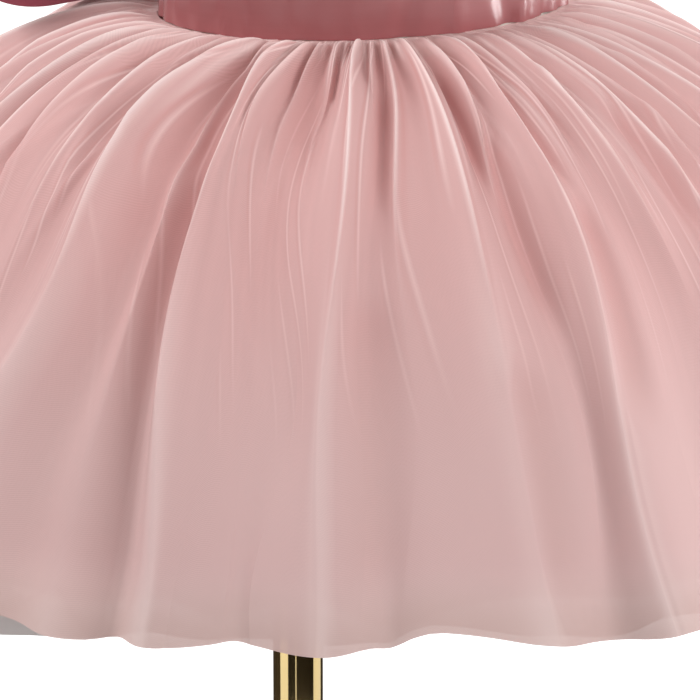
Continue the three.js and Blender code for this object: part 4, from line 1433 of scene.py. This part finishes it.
def body_mesh(name, corners, faces, maps):
    """A closed mesh whose end rings meet in one corner each."""
    used, numbers = np.unique(faces, return_inverse=True)
    faces = numbers.reshape(faces.shape)
    corners, maps = corners[used], maps[used]
    mesh = bpy.data.meshes.new(name)
    polygons = [tuple(dict.fromkeys(map(int, face))) for face in faces]
    mesh.from_pydata(corners.tolist(), [], polygons)
    layer = mesh.uv_layers.new(name="cloth")
    vertex = np.zeros(len(mesh.loops), np.int32)
    mesh.loops.foreach_get("vertex_index", vertex)
    layer.uv.foreach_set("vector", maps[vertex].astype(np.float32).ravel())
    mesh.shade_smooth()
    mesh.set_sharp_from_angle(angle=math.radians(50))
    a, b, c = (corners[[p[i] for p in polygons]] for i in range(3))
    if (a * np.cross(b, c)).sum() < 0:
        mesh.flip_normals()
    return new_object(name, mesh)


class DRESS_OT_bodice(bpy.types.Operator):
    """Sews the satin bodice: a front on the fold and two backs"""
    bl_idname = "dress.bodice"
    bl_label = "Bodice"

    def execute(self, context):
        cut = context.scene.dress_bodice
        satin = satin_material("Bodice satin", context.scene.dress_colours.satin, 0.25)
        for node, sides, is_back in (
                ("bodice_front", (-1, 1), False), ("bodice_back_left", (-1,), True),
                ("bodice_back_right", (1,), True)):
            halves = bodice_panel(cut, f"{node}_satin", sides, is_back)
            piece = joined(halves, f"{node}_satin")
            finish_piece(piece, satin, "bodice_satin", node)
        return {"FINISHED"}


def joined(pieces, name):
    """One object from one or several."""
    piece = pieces[0]
    if len(pieces) > 1:
        for other in bpy.context.selected_objects:
            other.select_set(False)
        for part in pieces:
            part.select_set(True)
        bpy.context.view_layer.objects.active = piece
        bpy.ops.object.join()
        piece.name = piece.data.name = name
    return piece


class DRESS_OT_overskirt(bpy.types.Operator):
    """Gathers the outer tulle skirt, front and back widths"""
    bl_idname = "dress.overskirt"
    bl_label = "Outer tulle skirt"

    def execute(self, context):
        cut = context.scene.dress_skirt
        net = tulle_material("Outer tulle", context.scene.dress_colours.tulle, *NET_COVER)
        layer = Layer(cut, outer_folds(), LONG_FOLD_HEIGHTS, OUTER_DEPTHS, OUTER_START, cut.length,
                      SHORT_FOLD_HEIGHTS, FOLD_SHARPNESS)
        layer.skew, layer.lean = FOLD_SKEW, FOLD_LEAN
        layer.rumple, layer.meander = RUMPLE_HEIGHT, MEANDER_DEGREES
        layer.gathers = fine_gathers(cut.fine_gathers, cut.seed)
        layer.valleys, layer.rises = outer_valleys(), HEM_RISES
        for node, is_back in (("overskirt_front", False), ("overskirt_back", True)):
            piece = skirt_width(f"{node}_net", layer, is_back, OUTER_GRID, cut.tulle_thickness, True)
            finish_piece(piece, net, "tulle", node)
        return {"FINISHED"}


class DRESS_OT_second_skirt(bpy.types.Operator):
    """Gathers the second tulle skirt, front and back widths"""
    bl_idname = "dress.second_skirt"
    bl_label = "Second tulle skirt"

    def execute(self, context):
        cut = context.scene.dress_skirt
        colour = context.scene.dress_colours.inner_tulle
        net = inner_tulle_material("Inner tulle", colour, INNER_COVER)
        length = cut.length + INNER_LONGER
        folds = inner_folds(INNER_FOLDS, INNER_SHIFT)
        layer = Layer(cut, folds, INNER_FOLD_HEIGHTS, INNER_DEPTHS, INNER_START, length)
        layer.rises = INNER_HEM_RISES
        for node, is_back in (("second_skirt_front", False), ("second_skirt_back", True)):
            piece = skirt_width(f"{node}_net", layer, is_back, INNER_GRID, cut.tulle_thickness)
            finish_piece(piece, net, "tulle", node)
        return {"FINISHED"}


def underskirt_layer(cut):
    """The underskirt's folds and hem, which its row of stitches follows too."""
    folds = inner_folds(UNDER_FOLDS, UNDER_SHIFT)
    layer = Layer(cut, folds, UNDER_FOLD_HEIGHTS, UNDER_DEPTHS, UNDER_START, cut.under_length)
    layer.rises = UNDER_HEM_RISES
    return layer


class DRESS_OT_underskirt(bpy.types.Operator):
    """Sews the satin underskirt, front and back"""
    bl_idname = "dress.underskirt"
    bl_label = "Satin underskirt"

    def execute(self, context):
        cut = context.scene.dress_skirt
        colour = context.scene.dress_colours.underskirt
        satin = satin_material("Underskirt satin", colour, 0.48, hem_colour=UNDER_HEM_COLOUR)
        layer = underskirt_layer(cut)
        for node, is_back in (("underskirt_front", False), ("underskirt_back", True)):
            piece = skirt_width(f"{node}_satin", layer, is_back, UNDER_GRID, cut.satin_thickness)
            finish_piece(piece, satin, "underskirt_satin", node)
        return {"FINISHED"}


def loop_points(cut, side, share, across, inward):
    """Points of a bow loop: a strip that leaves the band, turns round at its end and comes back."""
    turn = 0.1 + (2 * math.pi - 0.2) * share
    out = cut.loop_length / 2 * (1 - np.cos(turn))
    spread = smooth((out - 0.012) / 0.095)
    past_end = np.maximum(0, (out - cut.loop_length + 0.038) / 0.038)
    half_height = cut.pinch_half_height + (cut.half_height - cut.pinch_half_height) * spread
    half_height = half_height * np.sqrt(1 - 0.72 * past_end**2)
    open_share = 0.3 + 0.7 * smooth(out / 0.060)
    facing = np.sin(turn)
    fading = 1 - smooth(out / 0.120)
    crease = cut.crease * np.cos(3 * np.pi * across) * fading
    crease = crease + 0.0007 * np.cos(7 * np.pi * across + 1.2) * (1 - smooth(out / 0.085))
    crease = crease + 0.0012 * np.sin(9 * out / cut.loop_length + 2.5 * across) * spread
    fullness = (cut.half_depth - inward) * open_share * facing + crease * facing
    middle = BAND_LOW.y / 2 + BAND_HIGH.y / 2
    height = (BAND_LOW.z + BAND_HIGH.z) / 2
    x = side * (out - inward * np.maximum(0, -np.cos(turn)))
    y = middle - fullness - cut.forward_bend * (out / cut.loop_length) ** 2
    z = height + across * half_height - cut.sag * (out / cut.loop_length) ** 3
    return np.stack(np.broadcast_arrays(x, y, z), axis=-1)


class DRESS_OT_bow(bpy.types.Operator):
    """Ties the satin bow: two loops and the band round their middle"""
    bl_idname = "dress.bow"
    bl_label = "Bow"

    def execute(self, context):
        cut = context.scene.dress_bow
        satin = satin_material("Bow satin", context.scene.dress_colours.bow, 0.36)
        share = np.linspace(0, 1, 161)[None, :]
        across = np.linspace(-1, 1, 57)[:, None]
        for side, node in ((-1, "bow_loop_left"), (1, "bow_loop_right")):
            outside = loop_points(cut, side, share, across, 0)
            inside = loop_points(cut, side, share, across, BOW_THICKNESS)
            piece = cloth_shell(f"{node}_satin", outside, inside, cloth_map(outside))
            finish_piece(piece, satin, "bow_satin", node)
        band = self.band()
        finish_piece(band, satin, "bow_satin", "bow_band")
        return {"FINISHED"}

    def band(self):
        """The band, a short tube with three soft pleats round it."""
        steps = 96
        turn = np.arange(steps)[None, :] * 2 * math.pi / steps
        place = np.linspace(-1, 1, 29)[:, None]
        middle, half = (BAND_LOW + BAND_HIGH) / 2, (BAND_HIGH - BAND_LOW) / 2
        pleats = 0.0009 * (np.abs(np.sin(1.5 * np.pi * (place + 0.06 * np.sin(turn * 2)))) - 0.85)
        edge = 0.0006 * smooth((np.abs(place) - 0.8) / 0.2)

        def around(inward):
            def rounded(value):
                return np.sign(value) * np.abs(value) ** 0.5
            return np.stack(np.broadcast_arrays(
                middle.x + place * half.x,
                middle.y + (half.y - inward) * rounded(np.cos(turn)),
                middle.z + (half.z - inward) * rounded(np.sin(turn)),
            ), axis=-1)

        outside, inside = around(edge - pleats), around(0.0015)
        girth = turn * 0.011 + place * 0
        maps = np.stack([girth, np.broadcast_to(place * half.x, girth.shape)], axis=-1)
        return cloth_shell("bow_band_satin", outside, inside, maps, wraps=True)


class DRESS_OT_stitching(bpy.types.Operator):
    """Sews the rows of stitches along the neck, the armholes and the hem of the underskirt"""
    bl_idname = "dress.stitching"
    bl_label = "Stitches"

    def execute(self, context):
        cut = context.scene.dress_bodice
        skirt = context.scene.dress_skirt
        tree = stitch_tree()
        colours = context.scene.dress_colours
        rose = thread_material("Rose thread", colours.thread)
        pink = thread_material("Pink thread", tinted(colours.underskirt, 0.9))
        inset = STITCH_INSET
        rows = []
        for side in (-1, 1):
            for is_back, neck in ((False, cut.front_neck), (True, cut.back_neck)):
                heights = neck - inset + (cut.shoulder_neck - neck) * np.linspace(0, 1, 60) ** 2.6
                heights = heights[heights < LAST_NECK_STITCH]
                across = neck_turn(cut, heights + inset, neck) + np.degrees(inset * 0.8 / BODICE_RADIUS)
                across[0] = 0
                rows.append(self.row(cut, heights, across, side, is_back))
                heights = cut.underarm - inset + (
                    cut.shoulder_tip - cut.underarm + inset) * np.linspace(0, 1, 80)
                edge = arm_turn(cut, np.maximum(heights, cut.underarm))
                across = np.where(
                    heights < cut.underarm, 90 - 0.5, edge - np.degrees(inset / BODICE_RADIUS))
                rows.append(self.row(cut, heights, across, side, is_back))
        self.sew("bodice_stitches", tree, rows, rose, "bodice_satin", BODICE_STITCH)
        angle = np.linspace(-SIDE_SEAM, 360 - SIDE_SEAM, 720)[None, :]
        share = np.array([[1 - HEM_STITCH_HEIGHT / skirt.under_length]])
        hem = underskirt_layer(skirt).points(angle, share)
        self.sew("underskirt_stitches", tree, [hem[0]], pink, "underskirt_satin", HEM_STITCH)
        return {"FINISHED"}

    def row(self, cut, heights, across, side, is_back):
        """A line of points on the bodice's outside."""
        turn = side * (180 - across if is_back else across)
        return off_body(heights, turn, np.full(len(heights), cut.ease + cut.thickness))

    def sew(self, name, tree, rows, thread, slot, spacing):
        """One piece from all the stitches along some rows."""
        corners = np.concatenate(rows)
        edges, first = [], 0
        for row in rows:
            edges += [(first + step, first + step + 1) for step in range(len(row) - 1)]
            first += len(row)
        piece = made_by_nodes(name, tree, corners, edges, Spacing=spacing, Seed=3, Thread=thread)
        finish_piece(piece, thread, slot)


class DRESS_OT_stage(bpy.types.Operator):
    """Sets up the pale floor, the soft lights and the camera"""
    bl_idname = "dress.stage"
    bl_label = "Studio"

    def execute(self, context):
        studio = context.scene.dress_studio
        self.floor()
        self.surroundings(context.scene, studio.world_light)
        for name, power, place, width, height in LIGHTS:
            self.light(name, getattr(studio, power), place, width, height)
        self.cards(studio)
        self.camera(context.scene, studio)
        context.scene.view_settings.view_transform = "Standard"
        context.scene.cycles.transparent_max_bounces = 40
        return {"FINISHED"}

    def floor(self):
        """A pale floor that glows, so that no shadow edge shows where it ends."""
        material, tree, shader = new_material("Studio floor", (0.6, 0.6, 0.6), roughness=0.7)
        soft = noise(tree, mapped(tree, 1.0, "Object"), 2.0)
        tree.links.new(mixed(tree, soft, *FLOOR_COLOURS), shader.inputs["Base Color"])
        shader.inputs["Emission Color"].default_value = (1, 1, 1, 1)
        shader.inputs["Emission Strength"].default_value = FLOOR_GLOW
        level = BASE_LOW.z - 0.0002
        ends = ((-1, -1), (1, -1), (1, 1), (-1, 1))
        corners = [(x * FLOOR_REACH, y * FLOOR_REACH, level) for x, y in ends]
        mesh = bpy.data.meshes.new("floor")
        mesh.from_pydata(corners, [], [(0, 1, 2, 3)])
        mesh.materials.append(material)
        floor = new_object("floor", mesh)
        floor.visible_diffuse = False

    def surroundings(self, scene, strength):
        """Even white surroundings, a little brighter on one side."""
        world = bpy.data.worlds.new("Even white")
        world.use_nodes = True
        tree = world.node_tree
        sky = next(node for node in tree.nodes if node.type == "BACKGROUND")
        place = tree.nodes.new("ShaderNodeTexCoord")
        toward = add_node(tree, "ShaderNodeVectorMath", {"operation": "DOT_PRODUCT"})
        toward.inputs[1].default_value = BRIGHT_SIDE
        tree.links.new(place.outputs["Generated"], toward.inputs[0])
        brighter = maths(tree, "MULTIPLY_ADD", toward.outputs["Value"], strength * 0.75, strength)
        tree.links.new(brighter, sky.inputs["Strength"])
        sky.inputs["Color"].default_value = (1, 0.985, 0.97, 1)
        scene.world = world

    def light(self, name, power, place, width, height):
        """A soft light that faces the dress."""
        lamp = bpy.data.lights.new(name, "AREA")
        lamp.shape, lamp.size, lamp.size_y, lamp.energy = "RECTANGLE", width, height, power
        holder = new_object(name, lamp)
        holder.location = place
        aim = Vector((0, WAIST_FORWARD, WAIST_HEIGHT - 0.05))
        holder.rotation_euler = (Vector(place) - aim).to_track_quat("Z", "Y").to_euler()

    def cards(self, studio):
        """Dark cards, which show only as dark stripes in the brass and the satin."""
        facing = -math.pi / 2 - studio.turn
        for place, (radius, height, start, stop, shade) in enumerate(CARDS):
            colour = (shade, shade * 0.8, shade * 0.6)
            material, _, _ = new_material(f"Card {place}", colour, roughness=0.9)
            turns = facing + np.radians(np.linspace(start, stop, CARD_COLUMNS))
            level = np.full(CARD_COLUMNS, 0.002)
            low = np.stack([radius * np.cos(turns), radius * np.sin(turns), level], axis=-1)
            high = low + np.array([0, 0, height])
            mesh = bpy.data.meshes.new(f"card_{place}")
            faces = grid_faces(np.arange(2 * CARD_COLUMNS).reshape(2, CARD_COLUMNS)).tolist()
            mesh.from_pydata(np.concatenate([low, high]).tolist(), [], faces)
            mesh.materials.append(material)
            card = new_object(f"card_{place}", mesh)
            card.visible_camera = card.visible_diffuse = card.visible_shadow = False
            card.visible_transmission = False

    def camera(self, scene, studio):
        """The camera, which looks down a little at the dress from its right."""
        turn, rise = studio.turn, studio.rise
        right = Vector((math.cos(turn), -math.sin(turn), 0))
        level = Vector((-math.sin(turn), -math.cos(turn), 0))
        away = level * math.cos(rise) + Vector((0, 0, math.sin(rise)))
        up = away.cross(right)
        aim = Vector((0, WAIST_FORWARD, WAIST_HEIGHT)) + right * studio.aim_right + up * studio.aim_up
        camera = bpy.data.cameras.new("camera")
        camera.lens, camera.sensor_width = studio.lens, 36
        camera.clip_start, camera.clip_end = 0.1, 100
        holder = new_object("camera", camera)
        holder.location = aim + away * studio.distance
        holder.rotation_euler = away.to_track_quat("Z", "Y").to_euler()
        scene.camera = holder


GROUPS = {
    "dress_skirt": SkirtCut,
    "dress_bodice": BodiceCut,
    "dress_bow": BowCut,
    "dress_colours": Colours,
    "dress_studio": Studio,
}
STEPS = (
    DRESS_OT_stage, DRESS_OT_stand_metal, DRESS_OT_stand_body, DRESS_OT_underskirt,
    DRESS_OT_second_skirt, DRESS_OT_overskirt, DRESS_OT_bodice, DRESS_OT_bow, DRESS_OT_stitching,
)


class DRESS_PT_steps(bpy.types.Panel):
    """Lists the dress's sizes and the steps that make it"""
    bl_idname = "DRESS_PT_steps"
    bl_label = "Party Dress"
    bl_space_type = "VIEW_3D"
    bl_region_type = "UI"
    bl_category = "Party Dress"

    def draw(self, context):
        for key, group in GROUPS.items():
            box = self.layout.box()
            box.label(text=group.__doc__)
            for name in group.__annotations__:
                box.prop(getattr(context.scene, key), name)
        for step in STEPS:
            self.layout.operator(step.bl_idname)


def register():
    """Makes the sizes, the steps and the panel known to Blender."""
    for group in (*GROUPS.values(), *STEPS, DRESS_PT_steps):
        bpy.utils.register_class(group)
    for key, group in GROUPS.items():
        setattr(bpy.types.Scene, key, bpy.props.PointerProperty(type=group))


def unregister():
    """Takes them out again."""
    for key in GROUPS:
        delattr(bpy.types.Scene, key)
    for group in (DRESS_PT_steps, *reversed(STEPS), *GROUPS.values()):
        bpy.utils.unregister_class(group)


def main():
    """Makes the whole dress."""
    register()
    for step in STEPS:
        family, name = step.bl_idname.split(".")
        getattr(getattr(bpy.ops, family), name)()


if __name__ == "__main__":
    main()
